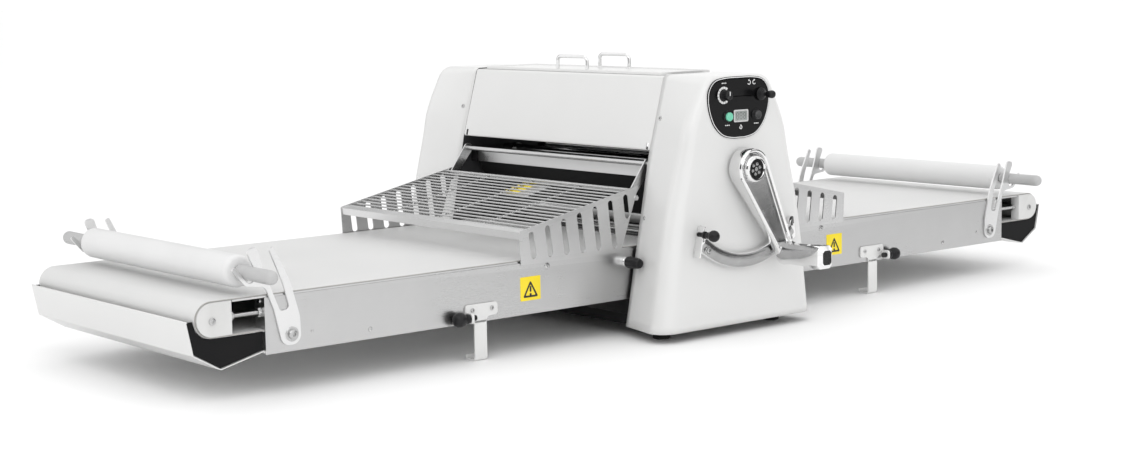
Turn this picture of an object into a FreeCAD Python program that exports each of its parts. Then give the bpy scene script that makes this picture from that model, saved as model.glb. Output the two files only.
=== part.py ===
import FreeCAD, Part
import math
import os

V = FreeCAD.Vector

# Dough sheeter. X runs along the tables, -Y is the operator's side, Z is up.
# Shapes are drawn about the rolling plane Y = 0 and set back when written, so that
# the origin lies under the middle of the whole machine.

overallLength = 2120.0      # over both catch trays
overallDepth = 940.0        # rear casing to lever grip
casingFace = 403.0          # outer face of each casing from the rolling plane
setback = overallDepth / 2 - casingFace

# Levels above the bench
footHeight = 20.0
casingBottom = 18.0
tableBottom = 67.0
tableTop = 158.0
hoodBottom = 331.0
hoodTop = 469.0

# Widths across the machine, measured from the rolling plane
plateIn = 280.0             # frame plates
plateOut = 286.0
tableIn = 273.0             # table side plates
tableOut = 275.0
guardIn = 277.0             # guard side plates
guardOut = 279.0
beltEdge = 272.0

# Rolling head
rollerR = 30.0
rollerLen = 254.0           # half length of the barrel
journalR = 12.0
lowerZ = 133.0
restGap = 5.2               # opening at the lever's rest position
upperZ = lowerZ + 2 * rollerR + restGap
fit = 0.05                  # radial running clearance

# Table belts
beltR = 29.0
beltThick = 2.0
driveX = 68.0
endX = 1016.0
beltZ = 134.0
idlerR = beltR - beltThick - 0.3
axleR = 8.0
tableEnd = 922.0

# Guards
pivotX = 106.0
pivotZ = 309.0
pivotR = 5.0
guardInner = (136.0, 273.0)
guardFront = (414.0, 213.6)
guardFoot = 155.0
barR = 1.6
barCount = 17
armIn = 270.0               # arms that hang each guard on its rod
armOut = 273.0
notchHeight = 16.0          # room in the hood for the raised arms

# Rolling pin and its forks
pinX = 950.0
pinZ = 200.0
pinR = 26.0
handleR = 11.5
pinHalf = 355.0
barrelHalf = 250.0
forkIn = 275.4
forkOut = 279.0
forkBolt = (876.0, 95.0)

# Thickness lever
hubZ = 302.0
elbow = (84.0, 146.0)
armFront = 440.0
armBack = 424.0

# Control panel
panelFace = casingFace + 2.0


# ---------- drawing helpers ----------

def block(x0, x1, y0, y1, z0, z1):
    return Part.makeBox(x1 - x0, y1 - y0, z1 - z0, V(x0, y0, z0))


def rodX(r, y, z, x0, x1):
    return Part.makeCylinder(r, x1 - x0, V(x0, y, z), V(1, 0, 0))


def rodY(r, x, z, y0, y1):
    return Part.makeCylinder(r, y1 - y0, V(x, y0, z), V(0, 1, 0))


def rodZ(r, x, y, z0, z1):
    return Part.makeCylinder(r, z1 - z0, V(x, y, z0), V(0, 0, 1))


def hexY(across, x, z, y0, y1):
    points = [V(x + across / 2 * math.cos(k * math.pi / 3), y0, z + across / 2 * math.sin(k * math.pi / 3))
              for k in range(7)]
    return Part.Face(Part.makePolygon(points)).extrude(V(0, y1 - y0, 0))


def hexX(across, y, z, x0, x1):
    points = [V(x0, y + across / 2 * math.cos(k * math.pi / 3), z + across / 2 * math.sin(k * math.pi / 3))
              for k in range(7)]
    return Part.Face(Part.makePolygon(points)).extrude(V(x1 - x0, 0, 0))


def roundedWire(corners, y):
    """Closed outline in the plane Y = y; each corner is (x, z) or (x, z, radius)."""
    count = len(corners)
    edges = []
    last = None
    first = None
    for i in range(count):
        here = V(corners[i][0], y, corners[i][1])
        radius = corners[i][2] if len(corners[i]) > 2 else 0.0
        if radius == 0.0:
            start = here
            end = here
        else:
            before = V(corners[i - 1][0], y, corners[i - 1][1]) - here
            after = V(corners[(i + 1) % count][0], y, corners[(i + 1) % count][1]) - here
            before.normalize()
            after.normalize()
            half = before.getAngle(after) / 2
            reach = radius / math.tan(half)
            start = here + before * reach
            end = here + after * reach
            bisector = before + after
            bisector.normalize()
            middle = here + bisector * (radius / math.sin(half) - radius)
        if last is None:
            first = start
        else:
            edges.append(Part.makeLine(last, start))
        if radius:
            edges.append(Part.Arc(start, middle, end).toShape())
        last = end
    edges.append(Part.makeLine(last, first))
    return Part.Wire(edges)


def plate(corners, y0, y1):
    return Part.Face(roundedWire(corners, y0)).extrude(V(0, y1 - y0, 0))


def capsule(x0, z0, x1, z1, r, y0, y1):
    """Round-ended bar outline between two points, thick from y0 to y1."""
    along = V(x1 - x0, 0, z1 - z0)
    side = V(-along.z, 0, along.x)
    side.normalize()
    side = side * r
    a = V(x0, y0, z0)
    b = V(x1, y0, z1)
    web = Part.Face(Part.makePolygon([a + side, b + side, b - side, a - side, a + side]))
    web = web.extrude(V(0, y1 - y0, 0))
    return web.fuse([rodY(r, x0, z0, y0, y1), rodY(r, x1, z1, y0, y1)]).removeSplitter()


def loop(x0, z0, r0, x1, z1, r1, y0, y1):
    """Outer hull of two discs, as a belt or chain lies round them."""
    dx = x1 - x0
    dz = z1 - z0
    span = math.hypot(dx, dz)
    lean = math.atan2(dz, dx)
    spread = math.acos((r0 - r1) / span)
    points = []
    for centreX, centreZ, r, turn in ((x0, z0, r0, 1), (x1, z1, r1, 1), (x1, z1, r1, -1), (x0, z0, r0, -1)):
        angle = lean + turn * spread
        points.append(V(centreX + r * math.cos(angle), y0, centreZ + r * math.sin(angle)))
    farTip = V(x1 + r1 * math.cos(lean), y0, z1 + r1 * math.sin(lean))
    nearTip = V(x0 - r0 * math.cos(lean), y0, z0 - r0 * math.sin(lean))
    edges = [Part.makeLine(points[0], points[1]),
             Part.Arc(points[1], farTip, points[2]).toShape(),
             Part.makeLine(points[2], points[3]),
             Part.Arc(points[3], nearTip, points[0]).toShape()]
    return Part.Face(Part.Wire(edges)).extrude(V(0, y1 - y0, 0))


def mirrorX(shape):
    return shape.mirror(V(0, 0, 0), V(1, 0, 0))


def mirrorY(shape):
    return shape.mirror(V(0, 0, 0), V(0, 1, 0))


def pairX(shapes):
    return shapes + [mirrorX(s) for s in shapes]


def pairY(shapes):
    return shapes + [mirrorY(s) for s in shapes]


def write(name, shapes):
    shape = shapes[0] if len(shapes) == 1 else Part.makeCompound(shapes)
    shape = shape.copy()
    shape.translate(V(0, setback, 0))
    shape.exportStep("parts/" + name + ".step")


def writeTables(name, shapes):
    """The right-hand group and its mirror image on the left."""
    write("right_" + name, shapes)
    write("left_" + name, [mirrorX(s) for s in shapes])


# ---------- body of the machine ----------

# Half outlines (x, z) from the foot to the top: where a casing meets the frame
# plate, and where its front face begins
innerHalf = [(172.0, casingBottom), (133.0, 215.0), (110.0, hoodBottom), (96.4, 380.0), (72.0, hoodTop)]
outerHalf = [(195.0, casingBottom), (163.0, 215.0), (133.0, hoodBottom), (121.0, 380.0), (76.0, hoodTop)]
innerCorner = 10.0
outerCorner = 36.0
wall = 4.0


def outline(half, corner, inset, drop, y):
    right = [(x - inset, z) for x, z in half[:-1]]
    right[0] = (right[0][0], half[0][1] - drop)
    right.append((half[-1][0] - inset, half[-1][1] - inset, corner))
    left = [(-c[0],) + c[1:] for c in reversed(right)]
    return roundedWire(right + left, y)


def casingForm(inset, drop):
    """Solid form of a casing on the +Y side, shrunk by inset, drawn in depth."""
    face = casingFace - inset
    sections = [
        outline(innerHalf, innerCorner, inset, drop, plateOut - drop / 8),
        outline(outerHalf, outerCorner, inset, drop, face - 14.0),
        outline(outerHalf, outerCorner - 3.0, inset + 3.5, drop, face - 5.0),
        outline(outerHalf, outerCorner - 8.0, inset + 11.0, drop, face)]
    return Part.makeLoft(sections, True, True)


def casings():
    shell = casingForm(0.0, 0.0).cut(casingForm(wall, 8.0))
    operator = mirrorY(shell)
    operator = operator.cut(rodY(12.0, 0, hubZ, -casingFace - 1, -casingFace + 10))
    write("rear_casing", [shell])
    write("operator_casing", [operator])


def framePlates():
    form = Part.Face(outline(innerHalf, innerCorner, 0.0, 0.0, plateIn)).extrude(V(0, plateOut - plateIn, 0))
    holes = [rodY(journalR + fit, 0, lowerZ, plateIn - 1, plateOut + 1),
             rodY(10.0 + fit, 0, hubZ, plateIn - 1, plateOut + 1),
             rodY(axleR + fit, driveX, beltZ, plateIn - 1, plateOut + 1),
             rodY(axleR + fit, -driveX, beltZ, plateIn - 1, plateOut + 1)]
    write("frame_plates", pairY([form.cut(holes)]))


def basePan():
    floor = block(-168, 168, -279.5, 279.5, 22, 25)
    lip = block(165, 168, -279.5, 279.5, 25, 40)
    write("base_pan", [floor.fuse(pairX([lip]))])


def feet():
    foot = rodZ(16.0, 140, 340, 0, 14).fuse(rodZ(11.0, 140, 340, 14, footHeight + 8))
    pad = foot.fuse(block(120, 160, plateOut, 362, footHeight + 8, footHeight + 11))
    write("feet", pairY(pairX([pad])))


def hoodPanels():
    slope = plate([(110.0, hoodBottom), (72.0, hoodTop - 2), (42.0, hoodTop - 2), (42.0, hoodTop - 4),
                   (70.6, hoodTop - 4), (107.9, hoodBottom)], -plateIn + 0.2, plateIn - 0.2)
    notch = block(95, 115, armIn - 1.5, armOut + 1.5, hoodBottom - 1, hoodBottom + notchHeight)
    slope = slope.cut(pairY([notch]))
    write("hood_right_panel", [slope])
    write("hood_left_panel", [mirrorX(slope)])


def lid():
    cover = block(-64, 64, -264, 264, hoodTop - 1.8, hoodTop + 1.5)
    rim = block(-64, 64, -264, 264, hoodTop + 1.5, hoodTop + 4)
    rim = rim.cut(block(-59, 59, -259, 259, hoodTop + 1, hoodTop + 5))
    write("top_lid", [cover.fuse(rim).removeSplitter()])


def lidHandles():
    wire = 3.5
    foot = hoodTop + 1.5
    top = foot + 25.0
    bend = 9.0
    reach = 43.5
    legs = []
    for x in (-54.0, 54.0):
        path = Part.Wire([
            Part.makeLine(V(x, -reach, foot), V(x, -reach, top - bend)),
            Part.Arc(V(x, -reach, top - bend), V(x, -reach + bend * 0.293, top - bend * 0.293),
                     V(x, -reach + bend, top)).toShape(),
            Part.makeLine(V(x, -reach + bend, top), V(x, reach - bend, top)),
            Part.Arc(V(x, reach - bend, top), V(x, reach - bend * 0.293, top - bend * 0.293),
                     V(x, reach, top - bend)).toShape(),
            Part.makeLine(V(x, reach, top - bend), V(x, reach, foot))])
        section = Part.Wire(Part.makeCircle(wire, V(x, -reach, foot), V(0, 0, 1)))
        legs.append(path.makePipeShell([section], True, False))
    write("lid_handles", legs)


# ---------- rolling head ----------

def rollers():
    lower = rodY(rollerR, 0, lowerZ, -rollerLen, rollerLen)
    lower = lower.fuse(rodY(journalR, 0, lowerZ, -300, 312)).removeSplitter()
    upper = rodY(rollerR, 0, upperZ, -rollerLen, rollerLen)
    upper = upper.fuse(rodY(journalR, 0, upperZ, -277, 277)).removeSplitter()
    write("lower_roller", [lower])
    write("upper_roller", [upper])


def rollerCarrier():
    cheek = block(-28, 28, 257, 276, upperZ - 26, upperZ + 38)
    cheek = cheek.cut(rodY(journalR + fit, 0, upperZ, 250, 280))
    tie = block(-24, 24, -257, 257, upperZ + 33, upperZ + 38)
    write("roller_carrier", pairY([cheek]) + [tie])


def bearings():
    ring = rodY(26.0, 0, lowerZ, plateOut, plateOut + 10)
    ring = ring.cut(rodY(journalR + fit, 0, lowerZ, plateOut - 1, plateOut + 11))
    write("roller_bearings", pairY([ring]))


def scraperBars():
    sheet = plate([(87, 305), (89, 305), (89, 282.4), (44.8, 204), (43, 205), (87, 283)], -262, 262)
    holder = block(84, 92, 255, plateIn, 281, 307)
    write("scraper_bars", pairX([sheet.fuse(pairY([holder])).removeSplitter()]))


def pivotRods():
    write("guard_pivot_rods", pairX([rodY(pivotR, pivotX, pivotZ, -plateIn, plateIn)]))


def toothedDisc(x, z, r, bore, teeth, y0, y1):
    disc = rodY(r, x, z, y0, y1).cut(rodY(bore, x, z, y0 - 1, y1 + 1))
    gaps = []
    for k in range(teeth):
        angle = 2 * math.pi * k / teeth
        gaps.append(rodY(math.pi * r / teeth * 0.5, x + r * math.cos(angle), z + r * math.sin(angle),
                         y0 - 1, y1 + 1))
    return disc.cut(gaps)


motorX = -70.0
motorZ = 80.0


def drive():
    body = rodY(45.0, motorX, motorZ, 314, 390)
    lugs = [block(motorX - 58, motorX - 40, plateOut, 340, motorZ - 12, motorZ + 12),
            block(motorX + 40, motorX + 52, plateOut, 340, motorZ - 40, motorZ - 16)]
    write("drive_motor", [body.fuse(lugs).removeSplitter()])
    write("roller_sprocket", [toothedDisc(0, lowerZ, 30.0, journalR + 0.03, 20, 298, 303)])
    spindle = rodY(7.0, motorX, motorZ, 292, 313.8)
    write("motor_sprocket", [toothedDisc(motorX, motorZ, 18.0, 0.5, 12, 298, 303).fuse(spindle)])
    outer = loop(motorX, motorZ, 22.0, 0, lowerZ, 34.0, 298.5, 302.5)
    inner = loop(motorX, motorZ, 18.4, 0, lowerZ, 30.4, 298, 303)
    write("drive_chain", [outer.cut(inner)])


# ---------- thickness lever ----------

def lever():
    arm = loop(0, hubZ, 37.0, elbow[0], elbow[1], 19.0, -armFront, -armBack)
    pocket = loop(8, hubZ - 34, 11.0, elbow[0] - 6, elbow[1] + 26, 7.0, -armFront - 1, -armFront + 4)
    hub = rodY(32.0, 0, hubZ, -armBack, -casingFace - 1)
    boss = rodY(28.0, 0, hubZ, -armFront - 5, -armFront)
    x, z = elbow
    grip = plate([(x - 20, z - 21, 8), (x + 18, z - 25, 8), (x + 18, z + 14, 8), (x - 20, z + 19, 8)],
                 -(overallDepth - casingFace), -armBack)
    arm = arm.cut(pocket).fuse([hub, boss, grip])
    arm = arm.cut(rodY(10.03, 0, hubZ, -armFront + 6, -casingFace))
    arm = arm.cut(rodY(17.05, 0, hubZ, -armFront - 6, -armFront - 2))
    write("lever_arm", [arm.removeSplitter()])
    write("lever_cap", [rodY(17.0, 0, hubZ, -armFront - 7, -armFront - 2.05)])
    shaft = rodY(10.0, 0, hubZ, -armFront + 6.1, 292)
    cams = [rodY(17.0, 0, hubZ - 5, y, y + 12) for y in (-254, 242)]
    write("lever_shaft", [shaft.fuse(cams).removeSplitter()])


sectorIn = 153.0
sectorOut = 180.0
sectorFrom = -41.0          # degrees from straight down, - is to the left
sectorTo = 44.0


def onSector(radius, degrees):
    angle = math.radians(degrees)
    return (radius * math.sin(angle), hubZ - radius * math.cos(angle))


def sector():
    y0 = -casingFace - 18
    y1 = -casingFace - 6
    ends = []
    for radius in (sectorIn, sectorOut):
        for degrees in (sectorFrom, (sectorFrom + sectorTo) / 2, sectorTo):
            x, z = onSector(radius, degrees)
            ends.append(V(x, y0, z))
    band = Part.Wire([Part.Arc(ends[0], ends[1], ends[2]).toShape(), Part.makeLine(ends[2], ends[5]),
                      Part.Arc(ends[5], ends[4], ends[3]).toShape(), Part.makeLine(ends[3], ends[0])])
    arc = Part.Face(band).extrude(V(0, y1 - y0, 0))
    teeth = 44
    gaps = []
    for k in range(1, teeth):
        x, z = onSector(sectorOut + 0.6, sectorFrom + (sectorTo - sectorFrom) * k / teeth)
        gaps.append(rodY(2.0, x, z, y0 - 1, y1 + 1))
    arc = arc.cut(gaps)
    leftTab = plate([(-122, 150, 6), (-100, 150), (-100, 206), (-106, 206)], y0, -casingFace)
    rightTab = plate([(106, 150), (134, 164, 6), (127, 204, 4), (118, 204, 4)], y0, -casingFace)
    write("thickness_sector", [arc.fuse([leftTab, rightTab]).removeSplitter()])


stopKnob = (-112.0, 192.0)


def stopKnobParts():
    x, z = stopKnob
    stem = rodY(4.0, x, z, -446, -casingFace - 18.2)
    ball = Part.makeSphere(10.5, V(x, -448, z))
    write("stop_knob", [stem.fuse(ball).removeSplitter()])


# ---------- control panel ----------

dialAt = (-43.0, 434.5)
stickAt = (48.0, 433.0)
startAt = (-34.0, 396.0)
stopAt = (38.0, 396.0)
displayAt = (-1.0, 396.0)
displayHalf = (18.0, 11.0)


def controlPanel():
    corners = [(-81, 467, 34), (71, 467, 34), (73, 424, 30), (47, 356, 34), (-57, 356, 34), (-83, 424, 30)]
    face = plate(corners, -panelFace, -casingFace)
    write("control_panel", [face])
    x, z = displayAt
    wide, tall = displayHalf
    corners = [(x + u * wide, z + v * tall, 2.5) for u, v in ((-1, -1), (1, -1), (1, 1), (-1, 1))]
    frame = plate(corners, -panelFace - 2, -panelFace)
    write("display", [frame])


def panelKnobs():
    x, z = dialAt
    knob = rodY(9.0, x, z, -panelFace - 16, -panelFace - 0.4)
    ridge = block(x - 1.5, x + 1.5, -panelFace - 18, -panelFace - 15.5, z - 8, z + 8)
    write("speed_knob", [knob.fuse(ridge).removeSplitter()])
    rings = []
    for name, (x, z) in (("start_button", startAt), ("stop_button", stopAt)):
        ring = rodY(9.5, x, z, -panelFace - 3, -panelFace)
        rings.append(ring.cut(rodY(8.05, x, z, -panelFace - 4, -panelFace + 1)))
        write(name, [rodY(8.0, x, z, -panelFace - 7, -panelFace - 3.4)])
    write("button_rings", rings)


def joystick():
    x, z = stickAt
    boot = Part.makeCone(11.5, 6.0, 9.0, V(x, -panelFace - 3.6, z), V(0, -1, 0))
    stem = rodY(3.6, x, z, -panelFace - 24, -panelFace - 12)
    grip = Part.makeCone(5.0, 7.2, 12.0, V(x, -panelFace - 17, z), V(0, -1, 0))
    tip = Part.makeSphere(7.2, V(x, -panelFace - 29, z))
    write("joystick", [boot.fuse([stem, grip, tip]).removeSplitter()])


# ---------- tables, drawn on the right and mirrored ----------

def tableFrame():
    side = block(44, tableEnd, tableIn, tableOut, tableBottom, tableTop)
    flange = block(tableEnd - 2, tableEnd, 246, tableIn, tableBottom + 2, tableTop - 2)
    slit = block(tableEnd - 3, tableEnd + 1, 240, tableIn, beltZ - beltR - 2, beltZ - beltR + 4)
    flange = flange.cut([rodX(4.1, 262, beltZ, tableEnd - 5, tableEnd + 5), slit])
    bosses = [rodY(9.0, 92, 92, tableOut, plateIn), rodY(9.0, 120, 92, tableOut, plateIn)]
    side = side.fuse([flange] + bosses).removeSplitter()
    side = side.cut(rodY(axleR + 0.3, driveX, beltZ, tableIn - 1, tableOut + 1))
    deck = block(100, 978, -tableIn, tableIn, tableTop, beltZ + beltR - beltThick - 0.1)
    stays = [block(x, x + 6, -tableIn, tableIn, 112, tableTop) for x in (300, 700)]
    writeTables("table_frame", pairY([side]) + [deck] + stays)


def belt():
    outer = loop(driveX, beltZ, beltR, endX, beltZ, beltR, -beltEdge, beltEdge)
    inside = beltR - beltThick
    inner = loop(driveX, beltZ, inside, endX, beltZ, inside, -beltEdge - 1, beltEdge + 1)
    writeTables("belt", [outer.cut(inner)])


def beltRollers():
    driveDrum = rodY(idlerR, driveX, beltZ, -262, 262)
    driveDrum = driveDrum.fuse(rodY(axleR, driveX, beltZ, -292, 292)).removeSplitter()
    writeTables("drive_roller", [driveDrum])
    endDrum = rodY(idlerR, endX, beltZ, -253, 253)
    endDrum = endDrum.fuse(rodY(axleR, endX, beltZ, -273, 273)).removeSplitter()
    writeTables("end_roller", [endDrum])


def endBlocks():
    r = beltR - beltThick - 0.4
    form = block(981, endX, 255, 276, beltZ - r, beltZ + r).fuse(rodY(r, endX, beltZ, 255, 276))
    form = form.removeSplitter().cut(rodY(axleR + fit, endX, beltZ, 250, 274))
    form = form.cut(rodX(4.02, 262, beltZ, 980, 986))
    write("end_blocks", pairX(pairY([form])))
    screw = rodX(4.0, 262, beltZ, tableEnd - 12, 985.8)
    nuts = [hexX(15, 262, beltZ, tableEnd, tableEnd + 7), hexX(13, 262, beltZ, 974, 981)]
    write("tension_screws", pairX(pairY([screw.fuse(nuts).removeSplitter()])))


def catchTray():
    sheet = plate([(overallLength / 2, 136.5), (1049, 81), (1001, 53), (tableEnd, 72), (tableEnd, 73.6),
                   (1000.8, 54.8), (1047.6, 82.2), (overallLength / 2 - 1.5, 136.5)], -271, 271)
    writeTables("catch_tray", [sheet])


def trayEnds():
    form = plate([(1057.4, 134), (1046.3, 83.5), (1000.7, 56.3), (tableEnd + 1, 75), (tableEnd + 1, 103.5),
                  (1016, 103.5), (1031, 107), (1042.5, 118), (1046.5, 134)], 267, 269)
    write("tray_end_plates", pairX(pairY([form])))


def forks():
    nose = handleR + 0.7
    slant = (0.604, 0.796)
    seat = (pinX + nose * slant[1], pinZ - nose * slant[0])
    tip = (seat[0] + 24 * slant[0], seat[1] + 24 * slant[1])
    back = (tip[0] + 7.5 * slant[1], tip[1] - 7.5 * slant[0])
    form = plate([
        (859, 78, 16), (860, 122, 60), (876, 180, 90), (905, 238, 2.5), (912, 233, 2.5),
        (890, 180, 60), (878, 136, 7), (896, 134, 7), (921, 196, 90), (935, 240, 7),
        (954, 236, 6), (pinX - nose, pinZ + 2, 6), (pinX - nose + 3, pinZ - nose - 2, 8),
        (seat[0] - 8, seat[1] - 10, 8), tip + (3.0,), back + (3.0,), (957, 180, 12), (922, 176, 14),
        (907, 138, 40), (893, 78, 16)], forkIn, forkOut)
    form = form.cut(rodY(nose, pinX, pinZ, forkIn - 1, forkOut + 1))
    write("pin_forks", pairX(pairY([form])))


def forkBolts():
    x, z = forkBolt
    washer = rodY(12.0, x, z, forkOut, forkOut + 1.5)
    head = rodY(8.0, x, z, forkOut + 1.5, forkOut + 7)
    head = head.cut(hexY(8, x, z, forkOut + 4, forkOut + 8))
    return pairX(pairY([washer.fuse(head).removeSplitter()]))


def rollingPin():
    barrel = rodY(pinR, pinX, pinZ, -barrelHalf, barrelHalf)
    rims = [e for e in barrel.Edges if abs(e.Length - 2 * math.pi * pinR) < 0.1]
    barrel = barrel.makeFillet(7.0, rims)
    barrel = barrel.cut(rodY(axleR + 0.08, pinX, pinZ, -barrelHalf - 1, barrelHalf + 1))
    writeTables("pin_barrel", [barrel])
    axle = rodY(axleR, pinX, pinZ, -262, 262)
    grip = rodY(handleR, pinX, pinZ, barrelHalf + 3, pinHalf - handleR)
    end = Part.makeSphere(handleR, V(pinX, pinHalf - handleR, pinZ))
    grip = grip.fuse(end)
    writeTables("pin_handles", [axle.fuse(pairY([grip])).removeSplitter()])


knobY = 289.0
knobZ = 78.0


def legs():
    face = tableOut + 0.2
    head = plate([(464, 76, 7), (533, 76, 7), (533, 100, 6), (464, 100, 6)], face, face + 3)
    strip = block(488, 514, face, face + 3, 0, 90)
    foot = block(488, 514, 250, face, 0, 3).fuse(block(488, 514, 250, 253, 3, 9))
    form = head.fuse([strip, foot])
    lug = block(527.5, 533, face + 3, 297, knobZ - 10, knobZ + 10)
    lug = lug.fuse(block(527.5, 531, face, face + 3, knobZ, knobZ + 10))
    lug = lug.cut(rodX(5.05, knobY, knobZ, 520, 535))
    write("table_legs", pairX([mirrorY(form.fuse(lug)).removeSplitter(), form.removeSplitter()]))
    stem = rodX(5.0, -knobY, knobZ, 521, 545)
    knob = Part.makeSphere(12.5, V(553, -knobY, knobZ))
    writeTables("leg_knob", [stem.fuse(knob).removeSplitter()])


latchX = 174.0
latchZ = 137.0


def latches():
    pin = rodY(9.0, latchX, latchZ, -291, -tableOut - 0.3)
    knob = Part.makeCone(10.5, 8.5, 32.0, V(latchX, -291, latchZ), V(0, -1, 0))
    writeTables("latch_knob", [pin.fuse(knob).removeSplitter()])


# ---------- guards ----------

def guardEdge(x):
    """Height of the sloping top edge of the guard at x."""
    slope = (guardFront[1] - guardInner[1]) / (guardFront[0] - guardInner[0])
    return guardInner[1] + slope * (x - guardInner[0])


def guardSlots():
    """Leaning slots; the last one stops short of the guard's inner edge."""
    slots = []
    lean = 0.12
    for k in range(7):
        x = 387.0 - 36.5 * k
        high = guardEdge(x) - 14.0
        low = guardFoot + 14.0 if k < 6 else high - 32.0
        slots.append(capsule(x - lean * (high - low), low, x, high, 6.0, guardIn - 1, guardOut + 1))
    return slots


def guard():
    side = plate([(181, guardFoot, 3), (411, guardFoot, 5), (guardFront[0], guardFront[1], 3),
                  (guardInner[0], guardInner[1], 3)], guardIn, guardOut)
    side = side.cut(guardSlots())
    lip = plate([(409.2, 199), (411, 199), (412.5, 212), (398, 215.4), (397.6, 213.6), (410.4, 210.8)],
                -guardIn, guardIn)
    stay = rodY(4.0, 143, 262, -guardIn, guardIn)
    arm = loop(143, 262, 8.0, pivotX, pivotZ, 10.0, armIn, armOut)
    arm = arm.cut([rodY(pivotR + fit, pivotX, pivotZ, armIn - 5, armOut + 2),
                   rodY(4.0, 143, 262, armIn - 5, armOut + 2)])
    screws = pairY([hexY(10, 143, 250, guardOut, guardOut + 2)])
    writeTables("guard_frame", pairY([side, arm]) + [lip, stay] + screws)
    bars = []
    first = 158.0
    last = 394.0
    for k in range(barCount):
        x = first + (last - first) * k / (barCount - 1)
        bars.append(rodY(barR, x, guardEdge(x) - barR - 1.5, -guardIn, guardIn))
    drop = 2 * barR + barR + 1.7
    run = V(last - first + 8, 0, guardEdge(last + 4) - guardEdge(first - 4))
    for y in (-140, 0, 140):
        start = V(first - 4, y, guardEdge(first - 4) - drop)
        bars.append(Part.makeCylinder(barR, run.Length, start, run))
    writeTables("guard_bars", bars)


# ---------- small fixed pieces ----------

def screwHead(x, z, r, y0, y1):
    head = rodY(r, x, z, y0, y1)
    return head.cut(block(x - r, x + r, y1 - 0.8, y1 + 1, z - 0.6, z + 0.6))


def fixingScrews():
    heads = [screwHead(350.5, 147.5, 6.0, tableOut, tableOut + 1.8),
             screwHead(724.4, 82.5, 4.0, tableOut, tableOut + 1.8),
             screwHead(835.8, 94.5, 2.5, tableOut, tableOut + 0.8),
             screwHead(518.0, 89.0, 4.0, tableOut + 3.2, tableOut + 5),
             screwHead(476.7, 89.0, 4.0, tableOut + 3.2, tableOut + 5),
             screwHead(endX, beltZ - 2, 6.0, 276, 278.5)]
    flange = [rodX(3.5, 260, z, tableEnd, tableEnd + 2) for z in (151, 77)]
    write("fixing_screws", pairX(pairY(heads + flange)) + casingScrews() + forkBolts())


def casingScrews():
    """Screws through the sloping sides of the casings into the frame plates."""
    heads = []
    screwY = 297.0
    for z, lower in ((392.0, 3), (214.0, 0)):
        low, high = innerHalf[lower:lower + 2]
        lowOut, highOut = outerHalf[lower:lower + 2]
        share = (z - low[1]) / (high[1] - low[1])
        inward = (screwY - plateOut) / (casingFace - 14.0 - plateOut)
        near = low[0] + (high[0] - low[0]) * share
        far = lowOut[0] + (highOut[0] - lowOut[0]) * share
        x = near + (far - near) * inward
        normal = V(high[1] - low[1], 0, low[0] - high[0])
        normal.normalize()
        heads.append(Part.makeCylinder(4.5, 1.8, V(x, screwY, z) + normal * 1.6, normal))
    return pairX(pairY(heads))


def labels():
    sheet = block(366, 411, tableOut, tableOut + 0.4, 91, 133)
    write("warning_labels", pairX([mirrorY(sheet)]))


os.makedirs("parts", exist_ok=True)
for job in (casings, framePlates, basePan, feet, hoodPanels, lid, lidHandles, rollers, rollerCarrier,
            bearings, scraperBars, pivotRods, drive, lever, sector, stopKnobParts, controlPanel, panelKnobs,
            joystick, tableFrame, belt, beltRollers, endBlocks, catchTray, trayEnds, forks, rollingPin,
            legs, latches, guard, fixingScrews, labels):
    job()
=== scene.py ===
import math
import bpy
import bmesh
from mathutils import Matrix, Vector


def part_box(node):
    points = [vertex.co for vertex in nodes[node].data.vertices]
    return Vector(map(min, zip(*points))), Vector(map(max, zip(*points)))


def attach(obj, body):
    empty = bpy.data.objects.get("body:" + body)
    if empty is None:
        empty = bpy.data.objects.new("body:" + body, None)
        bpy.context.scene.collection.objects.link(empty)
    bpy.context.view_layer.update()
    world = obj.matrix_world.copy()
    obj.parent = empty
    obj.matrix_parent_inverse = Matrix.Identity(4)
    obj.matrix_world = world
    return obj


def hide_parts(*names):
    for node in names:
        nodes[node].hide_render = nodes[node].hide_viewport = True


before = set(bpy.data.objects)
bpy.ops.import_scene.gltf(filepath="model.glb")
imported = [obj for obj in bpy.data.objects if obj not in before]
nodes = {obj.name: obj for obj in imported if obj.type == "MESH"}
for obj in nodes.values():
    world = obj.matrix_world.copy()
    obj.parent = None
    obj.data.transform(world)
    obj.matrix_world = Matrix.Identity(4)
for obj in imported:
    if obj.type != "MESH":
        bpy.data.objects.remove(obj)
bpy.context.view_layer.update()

# Shapes below are in millimetres about the rolling plane, and are turned into
# the frame's metres when a point is made
hoodLow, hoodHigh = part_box("hood_left_panel")
rollY = (hoodLow.y + hoodHigh.y) / 2
mm = 0.001
toFront = (0, -1, 0)
fourCorners = [(direction, y) for direction in (-1, 1) for y in (-1, 1)]


def at(x, y, z):
    return Vector((x * mm, rollY + y * mm, z * mm))


def middle(node):
    low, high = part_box(node)
    return Vector((low.x + high.x, low.y + high.y - 2 * rollY, low.z + high.z)) / (2 * mm)


# Ways to stand a flat outline up: along Y, Z or X
def standY(u, v, depth):
    return at(u, depth, v)


def standZ(u, v, depth):
    return at(u, v, depth)


def standX(u, v, depth):
    return at(depth, u, v)


def noise(tree, vector, scale, detail, rough=0.5):
    node = tree.nodes.new("ShaderNodeTexNoise")
    node.inputs["Scale"].default_value = scale
    node.inputs["Detail"].default_value = detail
    node.inputs["Roughness"].default_value = rough
    tree.links.new(vector, node.inputs["Vector"])
    return node.outputs["Fac"]


def remap(tree, value, low, high, outLow, outHigh):
    node = tree.nodes.new("ShaderNodeMapRange")
    for name, number in (("From Min", low), ("From Max", high), ("To Min", outLow), ("To Max", outHigh)):
        node.inputs[name].default_value = number
    tree.links.new(value, node.inputs["Value"])
    return node.outputs["Result"]


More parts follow.
